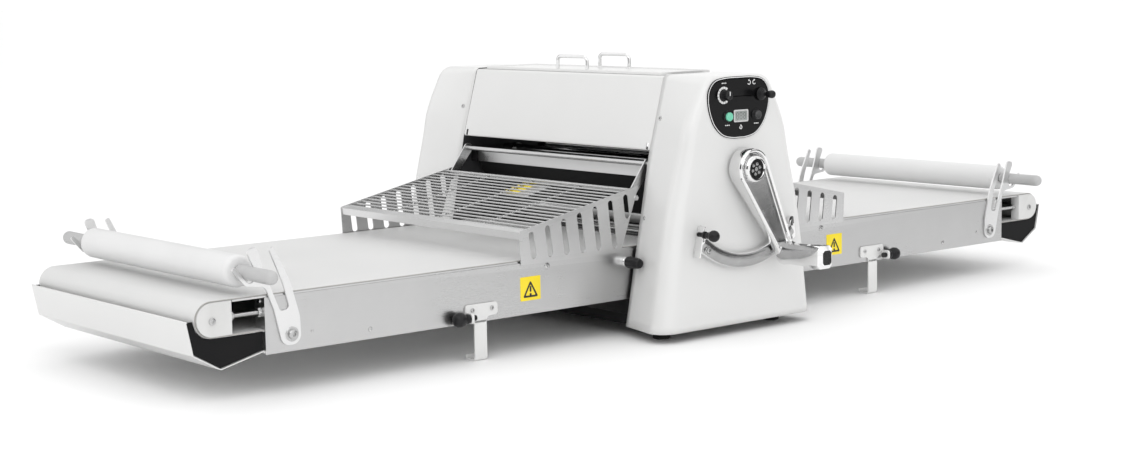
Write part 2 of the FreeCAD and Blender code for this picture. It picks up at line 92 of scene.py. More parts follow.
def maths(tree, kind, a, b):
    node = tree.nodes.new("ShaderNodeMath")
    node.operation = kind
    for slot, value in enumerate((a, b)):
        if isinstance(value, (int, float)):
            node.inputs[slot].default_value = value
        else:
            tree.links.new(value, node.inputs[slot])
    return node.outputs["Value"]


def blendColour(tree, share, first, second):
    node = tree.nodes.new("ShaderNodeMix")
    node.data_type = "RGBA"
    tree.links.new(share, node.inputs["Factor"])
    for slot, colour in (("A", first), ("B", second)):
        socket = [s for s in node.inputs if s.name == slot and s.type == "RGBA"][0]
        if isinstance(colour, tuple):
            socket.default_value = colour + (1.0,)
        else:
            tree.links.new(colour, socket)
    return [s for s in node.outputs if s.type == "RGBA"][0]


def stretched(tree, coords, scale):
    node = tree.nodes.new("ShaderNodeMapping")
    node.inputs["Scale"].default_value = scale
    tree.links.new(coords, node.inputs["Vector"])
    return node.outputs["Vector"]


def tint(value):
    # A single number is a plain grey
    return value if isinstance(value, tuple) else (value, value, value)


def finishMaterial(name, look):
    # light, shade: colours; metal, rough, spread: shine; grain: stretch of the fine marks
    mat = bpy.data.materials.new(name)
    mat.use_nodes = True
    tree = mat.node_tree
    shader = tree.nodes["Principled BSDF"]
    coords = tree.nodes.new("ShaderNodeTexCoord").outputs["Object"]
    broad = noise(tree, coords, look.get("patch", 6.0), 4.0)
    grain = stretched(tree, coords, look.get("grain", (1, 1, 1)))
    fine = noise(tree, grain, look.get("fine", 900.0), 3.0, 0.6)
    share = remap(tree, broad, 0.3, 0.7, 0.0, 1.0)
    share = maths(tree, "ADD", maths(tree, "MULTIPLY", share, 0.55), maths(tree, "MULTIPLY", fine, 0.45))
    colour = blendColour(tree, share, tint(look["shade"]), tint(look["light"]))
    # Sharp convex edges, found by pointiness, are blended towards a lighter colour
    if "edgeTone" in look:
        point = tree.nodes.new("ShaderNodeNewGeometry").outputs["Pointiness"]
        edge = remap(tree, point, 0.53, 0.6, 0.0, 0.5)
        colour = blendColour(tree, edge, colour, tint(look["edgeTone"]))
    # Painted shade: faces that look into the head are darkened
    if "inside" in look:
        colour = insideColour(tree, coords, colour, look)
    tree.links.new(colour, shader.inputs["Base Color"])
    rough = look["rough"]
    spread = look.get("spread", 0.08)
    mixed = maths(tree, "ADD", maths(tree, "MULTIPLY", broad, 0.6), maths(tree, "MULTIPLY", fine, 0.4))
    tree.links.new(remap(tree, mixed, 0.3, 0.7, rough - spread, rough + spread), shader.inputs["Roughness"])
    bump = tree.nodes.new("ShaderNodeBump")
    bump.inputs["Strength"].default_value = look.get("bump", 0.15)
    bump.inputs["Distance"].default_value = look.get("depth", 0.0002)
    height = weave(tree, coords, look["weave"]) if "weave" in look else fine
    tree.links.new(height, bump.inputs["Height"])
    tree.links.new(bump.outputs["Normal"], shader.inputs["Normal"])
    shader.inputs["Metallic"].default_value = look.get("metal", 0.0)
    shader.inputs["Specular IOR Level"].default_value = look.get("specular", 0.5)
    shader.inputs["Coat Weight"].default_value = look.get("coat", 0.0)
    shader.inputs["Coat Roughness"].default_value = look.get("coatRough", 0.1)
    return mat


def insideColour(tree, coords, colour, look):
    # Faces near the rolling plane look into the head; they get a dark colour as painted shade, the shadow inside
    # the head
    split = tree.nodes.new("ShaderNodeSeparateXYZ")
    tree.links.new(coords, split.inputs["Vector"])
    off = maths(tree, "ABSOLUTE", maths(tree, "SUBTRACT", split.outputs["Y"], rollY), 0.0)
    return blendColour(tree, maths(tree, "LESS_THAN", off, look["insideHalf"]), colour, look["inside"])


def weave(tree, coords, pitch):
    split = tree.nodes.new("ShaderNodeSeparateXYZ")
    tree.links.new(coords, split.inputs["Vector"])
    waves = []
    for axis in ("X", "Y"):
        phase = maths(tree, "MULTIPLY", split.outputs[axis], 2 * math.pi / pitch)
        waves.append(maths(tree, "SINE", phase, 0.0))
    return maths(tree, "MULTIPLY", waves[0], waves[1])


looks = {
    "whitePaint": {"slot": "white_paint", "light": (0.7, 0.7, 0.695), "shade": (0.65, 0.65, 0.645),
                   "rough": 0.34, "spread": 0.05, "fine": 700.0, "bump": 0.1, "depth": 0.0001, "patch": 3.0,
                   "coat": 0.15, "coatRough": 0.15, "edgeTone": (0.76, 0.76, 0.75)},
    # Frame plate paint; its faces inside the head carry a painted shade colour
    "framePaintWithShade": {"slot": "white_paint", "light": (0.68, 0.68, 0.67), "shade": (0.61, 0.61, 0.6),
                   "rough": 0.4, "fine": 700.0, "bump": 0.1, "depth": 0.0001, "patch": 3.0,
                   "inside": (0.035, 0.035, 0.037), "insideHalf": 0.2803},
    "inox": {"slot": "inox", "light": 0.62, "shade": 0.5, "metal": 1.0, "rough": 0.3, "spread": 0.07,
             "grain": (0.02, 1, 1), "fine": 1500.0, "bump": 0.16, "depth": 8e-05, "edgeTone": 0.75},
    # Fork steel: the same stainless as inox, made lighter as painted light so the forks read brighter
    "forkSteelPaintedLight": {"slot": "inox", "light": 0.78, "shade": 0.68, "metal": 1.0, "rough": 0.32, "spread": 0.07,
                  "grain": (1, 1, 0.03), "fine": 1500.0, "bump": 0.14, "depth": 8e-05, "edgeTone": 0.86},
    "frameSilver": {"slot": "display", "light": 0.74, "shade": 0.64, "metal": 0.4, "rough": 0.3,
                    "fine": 2200.0, "bump": 0.08},
    "inoxRod": {"slot": "inox_rod", "light": 0.62, "shade": 0.46, "metal": 1.0, "rough": 0.18, "spread": 0.06,
                "grain": (1, 0.03, 1), "fine": 1200.0, "bump": 0.08, "depth": 5e-05},
    "chrome": {"slot": "chrome", "light": 0.84, "shade": 0.72, "metal": 1.0, "rough": 0.07, "spread": 0.035,
               "fine": 260.0, "bump": 0.06, "depth": 0.0002, "patch": 20.0, "edgeTone": 0.95},
    "castRecess": {"slot": "chrome", "light": 0.46, "shade": 0.34, "metal": 1.0, "rough": 0.24,
                   "spread": 0.06, "fine": 520.0, "bump": 0.3, "depth": 0.0003, "patch": 30.0},
    "zinc": {"slot": "zinc", "light": 0.6, "shade": 0.36, "metal": 1.0, "rough": 0.26, "spread": 0.1,
             "fine": 1400.0, "bump": 0.15, "edgeTone": 0.85},
    "blackPlastic": {"slot": "black_plastic", "light": (0.012, 0.012, 0.013), "shade": (0.006, 0.006, 0.007),
                     "rough": 0.32, "spread": 0.08, "fine": 2400.0, "bump": 0.2, "depth": 0.0001,
                     "edgeTone": 0.06, "specular": 0.25},
    # Black paint; also used as painted shade in the head and as painted reflection on the tray end plates
    "blackPaint": {"slot": "black_paint", "light": (0.012, 0.012, 0.0125), "shade": (0.006, 0.006, 0.0065),
                   "rough": 0.5, "spread": 0.1, "fine": 900.0, "bump": 0.15, "specular": 0.12},
    "darkSteel": {"slot": "dark_steel", "light": 0.1, "shade": 0.04, "metal": 0.85, "rough": 0.45,
                  "spread": 0.12, "fine": 700.0, "bump": 0.2, "edgeTone": 0.3},
    "belt": {"slot": "belt_fabric", "light": (0.66, 0.66, 0.656), "shade": (0.6, 0.6, 0.596), "rough": 0.5,
             "spread": 0.08, "weave": 0.0011, "bump": 0.35, "depth": 0.00012, "patch": 5.0, "fine": 1300.0},
    "beltEdge": {"slot": "belt_fabric", "light": (0.52, 0.51, 0.49), "shade": (0.36, 0.355, 0.34),
                 "rough": 0.8, "weave": 0.0009, "bump": 0.6, "depth": 0.0002, "fine": 1300.0},
    "pinWhite": {"slot": "pin_white", "light": 0.72, "shade": 0.66, "rough": 0.4, "spread": 0.06,
                 "grain": (1, 0.1, 1), "fine": 600.0, "bump": 0.12, "patch": 8.0},
    # Pin handle grey: painted shade, a darker copy of the pin's plastic for the shadow the handles sit in
    "handleGrey": {"slot": "handle_grey", "light": 0.48, "shade": 0.4, "rough": 0.42, "spread": 0.08,
                   "fine": 1500.0, "bump": 0.25, "patch": 25.0, "edgeTone": 0.7},
    "blockWhite": {"slot": "block_white", "light": (0.58, 0.58, 0.57), "shade": (0.5, 0.5, 0.49),
                   "rough": 0.45, "spread": 0.08, "grain": (1, 0.2, 1), "fine": 900.0, "bump": 0.2,
                   "edgeTone": 0.86},
    "rubber": {"slot": "rubber", "light": 0.016, "shade": 0.008, "rough": 0.75, "spread": 0.1, "fine": 1100.0,
               "bump": 0.5, "edgeTone": 0.07, "specular": 0.3},
    "panelBlack": {"slot": "panel_black", "light": (0.006, 0.006, 0.0065), "shade": (0.003, 0.003, 0.0035),
                   "rough": 0.25, "spread": 0.05, "fine": 2000.0, "bump": 0.06, "coat": 0.03,
                   "coatRough": 0.08, "specular": 0.2},
    "printWhite": {"slot": "panel_black", "light": 0.82, "shade": 0.7, "rough": 0.4, "fine": 2000.0,
                   "bump": 0.1},
    "buttonGreen": {"slot": "button_green", "light": (0.2, 0.62, 0.44), "shade": (0.13, 0.5, 0.34),
                    "rough": 0.3, "spread": 0.06, "fine": 1800.0, "bump": 0.1, "patch": 60.0},
    "buttonDark": {"slot": "button_dark", "light": (0.05, 0.05, 0.052), "shade": (0.03, 0.03, 0.031),
                   "rough": 0.3, "fine": 1800.0, "bump": 0.15, "patch": 60.0},
    "labelYellow": {"slot": "label_yellow", "light": (0.9, 0.72, 0.02), "shade": (0.82, 0.63, 0.015),
                    "rough": 0.35, "fine": 1500.0, "bump": 0.05, "patch": 30.0},
    "printBlack": {"slot": "label_yellow", "light": 0.02, "shade": 0.012, "rough": 0.4, "fine": 1500.0,
                   "bump": 0.05},
    "glassGrey": {"slot": "display", "light": (0.34, 0.36, 0.35), "shade": (0.27, 0.29, 0.28), "rough": 0.12,
                  "spread": 0.03, "fine": 1500.0, "bump": 0.02, "coat": 0.5, "coatRough": 0.05},
    "segmentGrey": {"slot": "display", "light": (0.06, 0.065, 0.065), "shade": (0.04, 0.045, 0.045),
                    "rough": 0.3, "fine": 1500.0, "bump": 0.05},
}
finishes = {name: finishMaterial(name, look) for name, look in looks.items()}
print("finishes:", len(finishes))


def addRings(bm, rings, around=True, capFirst=False, capLast=False, index=0):
    grid = [[bm.verts.new(p) for p in ring] for ring in rings]
    count = len(rings[0])
    faces = []
    for a, b in zip(grid, grid[1:]):
        for i in range(count if around else count - 1):
            j = (i + 1) % count
            faces.append(bm.faces.new((a[i], a[j], b[j], b[i])))
    if capFirst:
        faces.append(bm.faces.new(grid[0]))
    if capLast:
        faces.append(bm.faces.new(list(reversed(grid[-1]))))
    for face in faces:
        face.material_index = index
    return faces


def sideVectors(axis):
    axis = Vector(axis).normalized()
    other = Vector((0, 0, 1)) if abs(axis.z) < 0.9 else Vector((1, 0, 0))
    first = axis.cross(other).normalized()
    return axis, first, axis.cross(first)


def addLathe(bm, profile, centre, axis, steps=36, index=0):
    # profile holds (radius, distance along the axis), and a third number for a flat-sided ring
    axis, first, second = sideVectors(axis)
    rings = []
    for entry in profile:
        radius, along = entry[0], entry[1]
        sides = entry[2] if len(entry) > 2 else 0
        ring = []
        for k in range(steps):
            angle = 2 * math.pi * k / steps
            reach = max(radius, 0.0005)
            if sides:
                part = math.pi / sides
                reach = radius * math.cos(part) / math.cos((angle % (2 * part)) - part)
            spoke = first * math.cos(angle) + second * math.sin(angle)
            ring.append(centre + spoke * reach * mm + axis * along * mm)
        rings.append(ring)
    addRings(bm, rings, True, True, True, index)


def addTube(bm, points, radius, steps):
    rings = []
    direction = (points[1] - points[0]).normalized()
    _, side, _ = sideVectors(direction)
    for i, point in enumerate(points):
        before = points[max(i - 1, 0)]
        after = points[min(i + 1, len(points) - 1)]
        direction = (after - before).normalized()
        side = (side - direction * side.dot(direction)).normalized()
        up = direction.cross(side)
        rings.append([point + (side * math.cos(a) + up * math.sin(a)) * radius * mm
                      for a in (2 * math.pi * k / steps for k in range(steps))])
    addRings(bm, rings, True, True, True)


def softCorners(points, radius, steps=6, closed=False):
    # The same run of points with each corner rounded off
    result = []
    count = len(points)
    for i, here in enumerate(points):
        here = Vector(here)
        if not closed and i in (0, count - 1):
            result.append(here)
            continue
        before = Vector(points[i - 1]) - here
        after = Vector(points[(i + 1) % count]) - here
        r = radius[i] if isinstance(radius, (list, tuple)) else radius
        angle = before.angle(after)
        if r <= 0 or angle > 3.1:
            result.append(here)
            continue
        reach = min(r / math.tan(angle / 2), before.length * 0.49, after.length * 0.49)
        r = reach * math.tan(angle / 2)
        bisector = (before.normalized() + after.normalized()).normalized()
        centre = here + bisector * (r / math.sin(angle / 2))
        start = here + before.normalized() * reach - centre
        end = here + after.normalized() * reach - centre
        turn = start.angle(end)
        for k in range(steps + 1):
            t = k / steps
            arc = start * math.sin((1 - t) * turn) + end * math.sin(t * turn)
            result.append(centre + arc / math.sin(turn))
    return result


def normalsOf(points, closed):
    count = len(points)
    out = []
    for i in range(count):
        before = points[i - 1] if closed or i > 0 else points[i]
        after = points[(i + 1) % count] if closed or i < count - 1 else points[i]
        run = after - before
        out.append(Vector((run.y, -run.x)).normalized())
    return out


def addPrism(bm, outline, depth0, depth1, bevel=0.4, stand=standY):
    first = [bm.verts.new(stand(p[0], p[1], depth0)) for p in outline]
    second = [bm.verts.new(stand(p[0], p[1], depth1)) for p in outline]
    caps = [bm.faces.new(first), bm.faces.new(list(reversed(second)))]
    rims = list(caps[0].edges) + list(caps[1].edges)
    for i in range(len(outline)):
        j = (i + 1) % len(outline)
        bm.faces.new((first[j], first[i], second[i], second[j]))
    if bevel:
        bmesh.ops.bevel(bm, geom=rims, offset=bevel * mm, segments=2, profile=0.6, affect="EDGES",
                        clamp_overlap=True, material=0)


def roundedBox(x0, x1, z0, z1, radius, steps=5):
    return softCorners([(x0, z0), (x1, z0), (x1, z1), (x0, z1)], radius, steps, closed=True)


def mirrored(points, direction):
    return [Vector((direction * x, z)) for x, z in points]


def addStrip(bm, path, thick, depth0, depth1, bend=3.0, bevel=0.25, stand=standY):
    # Bent sheet metal: a path through the middle of the sheet, thickened and drawn in depth
    points = softCorners(path, bend)
    side = normalsOf(points, False)
    upper = [p + n * thick / 2 for p, n in zip(points, side)]
    lower = [p - n * thick / 2 for p, n in zip(points, side)]
    addPrism(bm, upper + lower[::-1], depth0, depth1, bevel, stand)


def addBand(bm, cx, cz, r0, r1, a0, a1, depth0, depth1, steps=24):
    # Part of a flat ring, from angle a0 to a1 in degrees from +X
    angles = [math.radians(a0 + (a1 - a0) * k / steps) for k in range(steps + 1)]
    outer = [Vector((cx + r1 * math.cos(a), cz + r1 * math.sin(a))) for a in angles]
    inner = [Vector((cx + r0 * math.cos(a), cz + r0 * math.sin(a))) for a in angles]
    addPrism(bm, outer + inner[::-1], depth0, depth1, 0)


def ringBetween(bm, outer, inner, depth0, depth1):
    # Flat frame between two outlines of equally many points
    rings = [[standY(p.x, p.y, d) for p in ring] for ring, d in
             ((outer, depth0), (outer, depth1), (inner, depth1), (inner, depth0), (outer, depth0))]
    addRings(bm, rings)


def addFluted(bm, rows, spot, flutes, steps):
    # Turned grip facing the operator; rows hold (radius, depth, height of the flutes)
    rings = []
    for radius, depth, wave in rows:
        ring = []
        for k in range(steps):
            a = 2 * math.pi * k / steps
            r = radius + wave * math.cos(flutes * a)
            ring.append(at(spot.x + r * math.cos(a), -depth, spot.z + r * math.sin(a)))
        rings.append(ring)
    addRings(bm, rings, True, True, True)


def addSocketScrew(bm, centre, axis, radius, height, steps=30):
    # Button-headed screw with a hexagon socket
    key = radius * 0.5
    profile = [(radius, -0.2), (radius, height * 0.35), (radius * 0.93, height * 0.72),
               (radius * 0.74, height * 0.97), (radius * 0.62, height), (key, height, 6),
               (key * 0.94, height * 0.35, 6), (0, height * 0.25)]
    addLathe(bm, profile, centre, axis, steps)


def addPanScrew(bm, centre, axis, radius, height):
    # Low pan head with a square pressed recess
    profile = [(radius, -0.2), (radius, height * 0.4), (radius * 0.9, height * 0.8), (radius * 0.66, height),
               (radius * 0.34, height, 4), (radius * 0.22, height * 0.3, 4), (0, height * 0.2)]
    addLathe(bm, profile, centre, axis, 24)


def placeMesh(name, bm):
    mesh = bpy.data.meshes.new(name)
    bm.to_mesh(mesh)
    bm.free()
    obj = bpy.data.objects.new(name, mesh)
    bpy.context.scene.collection.objects.link(obj)
    return obj


def applyModifiers(obj):
    graph = bpy.context.evaluated_depsgraph_get()
    mesh = bpy.data.meshes.new_from_object(obj.evaluated_get(graph))
    obj.modifiers.clear()
    obj.data = mesh


def piece(name, bm, body, materials, stands=(), crease=32):
    # Finish a mesh, put it on its body and say which CAD nodes it stands for
    bmesh.ops.remove_doubles(bm, verts=bm.verts, dist=2e-6)
    bmesh.ops.dissolve_degenerate(bm, edges=bm.edges, dist=1e-7)
    bmesh.ops.recalc_face_normals(bm, faces=bm.faces)
    obj = placeMesh(name, bm)
    obj.data.shade_smooth()
    obj.data.set_sharp_from_angle(angle=math.radians(crease))
    names = [materials] if isinstance(materials, str) else materials
    for look in names:
        obj.data.materials.append(finishes[look])
    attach(obj, body)
    if stands:
        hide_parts(*stands)
    return obj


def thicken(obj, thickness):
    # Give a sheet surface its thickness on the inner side
    solid = obj.modifiers.new("wall", "SOLIDIFY")
    solid.thickness = thickness * mm
    solid.offset = -1.0
    solid.use_even_offset = True
    applyModifiers(obj)


casing = {
    # height and half width, at the back and at the front face
    "inner": [(18, 172.6), (215, 133.6), (331, 110.6), (380, 97.0), (469.4, 72.6)],
    "outer": [(18, 195), (215, 163), (331, 133), (380, 121), (469.4, 76)],
    "plate": 280.3, "face": 403.0, "topInner": 12.0, "topOuter": 36.0,
    "roundLow": 34.0, "roundHigh": 15.0, "wall": 3.5, "heights": 26,
}


def smoothThrough(pairs, z):
    # Smooth curve through (height, width) pairs
    count = len(pairs)
    slopes = [(pairs[i + 1][1] - pairs[i][1]) / (pairs[i + 1][0] - pairs[i][0]) for i in range(count - 1)]
    tangents = [slopes[0]] + [(a + b) / 2 for a, b in zip(slopes, slopes[1:])] + [slopes[-1]]
    for i in range(count - 1):
        z0, w0 = pairs[i]
        z1, w1 = pairs[i + 1]
        if z <= z1 or i == count - 2:
            run = z1 - z0
            t = (z - z0) / run
            return ((2 * t ** 3 - 3 * t ** 2 + 1) * w0 + (t ** 3 - 2 * t ** 2 + t) * run * tangents[i]
                    + (3 * t ** 2 - 2 * t ** 3) * w1 + (t ** 3 - t ** 2) * run * tangents[i + 1])


def casingOutline(pairs, corner, steps):
    bottom, top = pairs[0][0], pairs[-1][0]
    side = []
    for k in range(steps):
        z = bottom + (top - 46 - bottom) * k / (steps - 1)
        side.append(Vector((smoothThrough(pairs, z), z)))
    run = [side[-1], Vector((smoothThrough(pairs, top), top)), Vector((0, top))]
    arc = softCorners(run, corner, 14)[1:-1]
    flat = [Vector((arc[-1].x * (1 - k / 6), top)) for k in range(1, 7)]
    right = side + arc + flat
    return right + [Vector((-p.x, p.y)) for p in reversed(right[:-1])]


def buildCasing(name, direction, node):
    steps = casing["heights"]
    inner = casingOutline(casing["inner"], casing["topInner"], steps)
    outer = casingOutline(casing["outer"], casing["topOuter"], steps)
    side = normalsOf(outer, False)
    low, high = casing["inner"][0][0], casing["inner"][-1][0]

    def rounding(z):
        share = (z - low) / (high - low)
        return casing["roundLow"] + (casing["roundHigh"] - casing["roundLow"]) * share

    rings = []
    for t in (k / 8 for k in range(9)):
        rings.append([(a.lerp(b, t), casing["plate"] + (casing["face"] - rounding(b.y) - casing["plate"]) * t)
                      for a, b in zip(inner, outer)])
    for k in range(1, 11):
        turn = math.pi / 2 * k / 10
        ring = []
        for b, n in zip(outer, side):
            r = rounding(b.y)
            p = b + n * r * (1 - math.cos(turn)) * (-1 if n.dot(b - Vector((0, 250))) > 0 else 1)
            p.y = max(p.y, low)
            ring.append((p, casing["face"] - r + r * math.sin(turn)))
        rings.append(ring)
    edge = rings[-1]
    for t in (0.06, 0.2, 0.4, 0.6, 0.8, 1.0):
        rings.append([(p.lerp(Vector((0, min(p.y, high - 90))), t), casing["face"]) for p, depth in edge])
    bm = bmesh.new()
    addRings(bm, [[at(p.x, direction * depth, p.y) for p, depth in ring] for ring in rings], around=False)
    thicken(piece(name, bm, "machine", "whitePaint", [node], 40), casing["wall"])


buildCasing("operatorCasing", -1, "operator_casing")
buildCasing("rearCasing", 1, "rear_casing")
print("casings done")


hood = {"half": 279.6, "thick": 1.6, "bend": 4.5,
        "path": [(97, 336), (109.4, 331.6), (71.4, 466.2), (42, 466.2)],
        "notchIn": 268.5, "notchOut": 274.5, "notchLow": 325, "notchTop": 347, "notchAcross": (90, 120)}


def cutOpenings(obj, openings):
    # Take a few block-shaped openings out of a finished mesh
    bm = bmesh.new()
    for x0, x1, y0, y1, low, high in openings:
        addPrism(bm, [(x0, y0), (x1, y0), (x1, y1), (x0, y1)], low, high, 0, standZ)
    bmesh.ops.recalc_face_normals(bm, faces=bm.faces)
    tool = placeMesh("openings", bm)
    cut = obj.modifiers.new("cut", "BOOLEAN")
    cut.operation = "DIFFERENCE"
    cut.solver = "EXACT"
    cut.object = tool
    applyModifiers(obj)
    bpy.data.objects.remove(tool)


def hoodSide(name, direction, node):
    bm = bmesh.new()
    path = mirrored(hood["path"], direction)
    addStrip(bm, path, hood["thick"], -hood["half"], hood["half"], hood["bend"], 0.3)
    obj = piece(name, bm, "machine", ["whitePaint", "blackPaint"], [node])
    near, far = sorted(direction * x for x in hood["notchAcross"])
    inner, outer = hood["notchIn"], hood["notchOut"]
    cutOpenings(obj, [(near, far, y0, y1, hood["notchLow"], hood["notchTop"])
                      for y0, y1 in ((-outer, -inner), (inner, outer))])
    # The face that looks into the head is painted black as painted shade
    for face in obj.data.polygons:
        if face.normal.x * direction + face.normal.z < -0.3 and abs(face.normal.y) < 0.5:
            face.material_index = 1


hoodSide("hoodRightSheet", 1, "hood_right_panel")
hoodSide("hoodLeftSheet", -1, "hood_left_panel")

lidSize = {"halfX": 64, "halfY": 264, "under": 467.3, "top": 473, "lip": 2.2, "wire": 3.5, "handleX": 54,
           "reach": 43.5, "rise": 26.5}


def buildLid():
    bm = bmesh.new()
    halfX, halfY, lip, under, top = (lidSize[k] for k in ("halfX", "halfY", "lip", "under", "top"))
    rings = []
    for inset, z in ((0.6, under), (0, under + 0.8), (0, top - 0.8), (0.5, top - 0.1), (lip, top),
                     (lip + 0.9, top - 0.6), (lip + 1.6, top - 2.2), (lip + 4, top - 2.6)):
        loop = roundedBox(-halfX + inset, halfX - inset, -halfY + inset, halfY - inset, 9 - min(inset, 4), 6)
        rings.append([at(p.x, p.y, z) for p in loop])
    addRings(bm, rings, True, True, True)
    piece("lidSheet", bm, "lid", "whitePaint", ["top_lid"], 35)
    bm = bmesh.new()
    foot, reach, rise = top - 2.6, lidSize["reach"], lidSize["rise"]
    for x in (-lidSize["handleX"], lidSize["handleX"]):
        corners = [at(x, y, z) for y, z in ((-reach, foot), (-reach, foot + rise), (reach, foot + rise),
                                            (reach, foot))]
        addTube(bm, softCorners(corners, 10 * mm, 8), lidSize["wire"], 16)
        for y in (-reach, reach):
            addLathe(bm, [(6.2, 0), (6.2, 0.8), (5.6, 1.4), (4.2, 1.6)], at(x, y, foot), (0, 0, 1), 24)
    piece("lidWireHandles", bm, "lid", "chrome", ["lid_handles"], 35)


buildLid()

lining = {"half": 262, "blade": [(87.6, 281.6), (88, 303.5), (90.5, 305.5)], "bladeThick": 1.4,
          "shadeShield": [(87, 282.5), (43.5, 204.8)], "shadeShieldThick": 1.8,
          "holder": [(84, 281), (92, 281), (92, 307), (84, 307)], "holderFrom": 262.2, "holderTo": 279.8}


def hoodLining():
    # Bright scraper bands under the hood, with their dark shields and end holders; the shields are painted black as
    # painted shade and painted reflection for the dark space below the bands
    half = lining["half"]
    bm = bmesh.new()
    for direction in (-1, 1):
        addStrip(bm, mirrored(lining["blade"], direction), lining["bladeThick"], -half, half, 2.0, 0.2)
    piece("scraperBlades", bm, "machine", "inox")
    bm = bmesh.new()
    for direction in (-1, 1):
        outline = softCorners(mirrored(lining["holder"], direction), 1.5, 3, True)
        for y in (-1, 1):
            addPrism(bm, outline, y * lining["holderFrom"], y * lining["holderTo"])
        # Shield: a black sheet standing in for the shade under the hood
        addStrip(bm, mirrored(lining["shadeShield"], direction), lining["shadeShieldThick"], -half, half, 2.0, 0.2)
    piece("scraperBrackets", bm, "machine", "blackPaint", ["scraper_bars"])


hoodLining()
print("hood and lid done")


panel = {
    "back": 403.0, "front": 405.0,
    "shape": [(0, 467.0), (34, 466.4), (60, 461.3), (74.5, 446), (77.8, 426), (73, 402), (62, 380),
              (42, 362.5), (18, 356.3), (0, 355.9)],
    "centre": -5.0, "arrows": 27.0, "wide": 18.0, "tall": 11.0,
    "dialInner": 11.2, "dialOuter": 15.4, "dialTicks": 11,
}


def closedCurve(points, per=6):
    # Smooth closed outline through the points
    out = []
    count = len(points)
    for i in range(count):
        p0, p1, p2, p3 = (points[(i + k) % count] for k in (-1, 0, 1, 2))
        for k in range(per):
            t = k / per
            out.append(0.5 * ((2 * p1) + (p2 - p0) * t + (2 * p0 - 5 * p1 + 4 * p2 - p3) * t * t
                              + (3 * p1 - p0 - 3 * p2 + p3) * t ** 3))
    return out


def insetLoop(points, distance):
    return [p + n * -distance for p, n in zip(points, normalsOf(points, True))]


def arrowArc(bm, cx, cz, radius, start, end, face):
    # Curved arrow: an arc of a ring and a pointed head at its end
    addBand(bm, cx, cz, radius - 0.7, radius + 0.7, start, end, -face, -face - 0.2, 12)
    angle = math.radians(end)
    turn = 1 if end > start else -1
    tangent = Vector((-math.sin(angle), math.cos(angle))) * turn
    outward = Vector((math.cos(angle), math.sin(angle)))
    tip = Vector((cx, cz)) + outward * radius
    addPrism(bm, [tip + outward * 1.9, tip + tangent * 3.0, tip - outward * 1.9], -face, -face - 0.2, 0)


def buildPanel():
    half = [Vector(p) for p in panel["shape"]]
    loop = closedCurve(half + [Vector((-p.x, p.y)) for p in reversed(half[1:-1])], 8)
    loop = [p + Vector((panel["centre"], 0)) for p in loop]
    if normalsOf(loop, True)[0].y < 0:
        loop.reverse()
    front = panel["front"]
    bm = bmesh.new()
    rings = []
    for inset, depth in ((0, panel["back"]), (0, front - 0.7), (0.25, front - 0.2), (0.8, front), (6, front),
                         (20, front), (34, front)):
        rings.append([standY(p.x, p.y, -depth) for p in insetLoop(loop, inset)])
    addRings(bm, rings, True, True, True)
    piece("panelPlate", bm, "machine", "panelBlack", ["control_panel"])
    bm = bmesh.new()
    ringBetween(bm, insetLoop(loop, 1.1), insetLoop(loop, 2.5), -front + 0.3, -front - 0.15)
    x, _, z = middle("speed_knob")
    for k in range(panel["dialTicks"]):
        step = 262.0 / panel["dialTicks"]
        start = 49.0 + step * k
        addBand(bm, x, z, panel["dialInner"], panel["dialOuter"], start + 1.4, start + step - 1.4,
                -front + 0.3, -front - 0.15, 5)
    arrowArc(bm, panel["arrows"] - 6.5, 455.0, 3.6, -150, 80, front)
    arrowArc(bm, panel["arrows"] + 6.5, 455.0, 3.6, -30, -260, front)
    display = middle("display")
    arrowArc(bm, display.x, 375.5, 3.0, -200, 70, front)
    addBand(bm, display.x, 375.5, 0, 1.0, 0, 350, -front, -front - 0.2, 10)
    marks = [(x - 5, z + 21.5), (middle("start_button").x - 6, 380.5), (middle("stop_button").x - 5, 380.5)]
    for left, height in marks:
        for k in range(3):
            addPrism(bm, roundedBox(left + 4.1 * k, left + 4.1 * k + 3.0, height - 0.9, height + 0.9, 0.5, 2),
                     -front + 0.3, -front - 0.15, 0)
    piece("panelPrint", bm, "machine", "printWhite")

    # Display: a silver frame round a grey window with three unlit digits
    bm = bmesh.new()
    wide, tall = panel["wide"], panel["tall"]
    outer = roundedBox(display.x - wide, display.x + wide, display.z - tall, display.z + tall, 2.5, 5)
    rings = []
    for inset, depth in ((0, front - 0.3), (0, front + 1.4), (0.6, front + 2.0), (2.0, front + 2.0),
                         (2.5, front + 1.4), (2.5, front + 0.6)):
        rings.append([standY(display.x + (p.x - display.x) * (1 - inset / wide),
                             display.z + (p.y - display.z) * (1 - inset / tall), -depth) for p in outer])
    addRings(bm, rings, True, True, True)
    piece("displayFrame", bm, "machine", "frameSilver", ["display"])
    bm = bmesh.new()
    pane = roundedBox(display.x - wide + 2.7, display.x + wide - 2.7, display.z - 8.6, display.z + 8.6, 0.8, 3)
    addPrism(bm, pane, -front - 0.5, -front - 0.9, 0.1)
    piece("displayWindow", bm, "machine", "glassGrey")
    bm = bmesh.new()
    for k in (-1, 0, 1):
        strokes = [(0, z, 1.9, 0.45) for z in (-5.6, 0, 5.6)]
        strokes += [(x, z, 0.45, 2) for x, z in ((-2.6, 2.8), (2.6, 2.8), (-2.6, -2.8), (2.6, -2.8))]
        for dx, dz, halfX, halfZ in strokes:
            x, z = display.x + 9.0 * k + dx, display.z + dz
            addPrism(bm, roundedBox(x - halfX, x + halfX, z - halfZ, z + halfZ, 0.2, 2),
                     -front - 0.8, -front - 1.0, 0)
    piece("displayDigits", bm, "machine", "segmentGrey")


buildPanel()


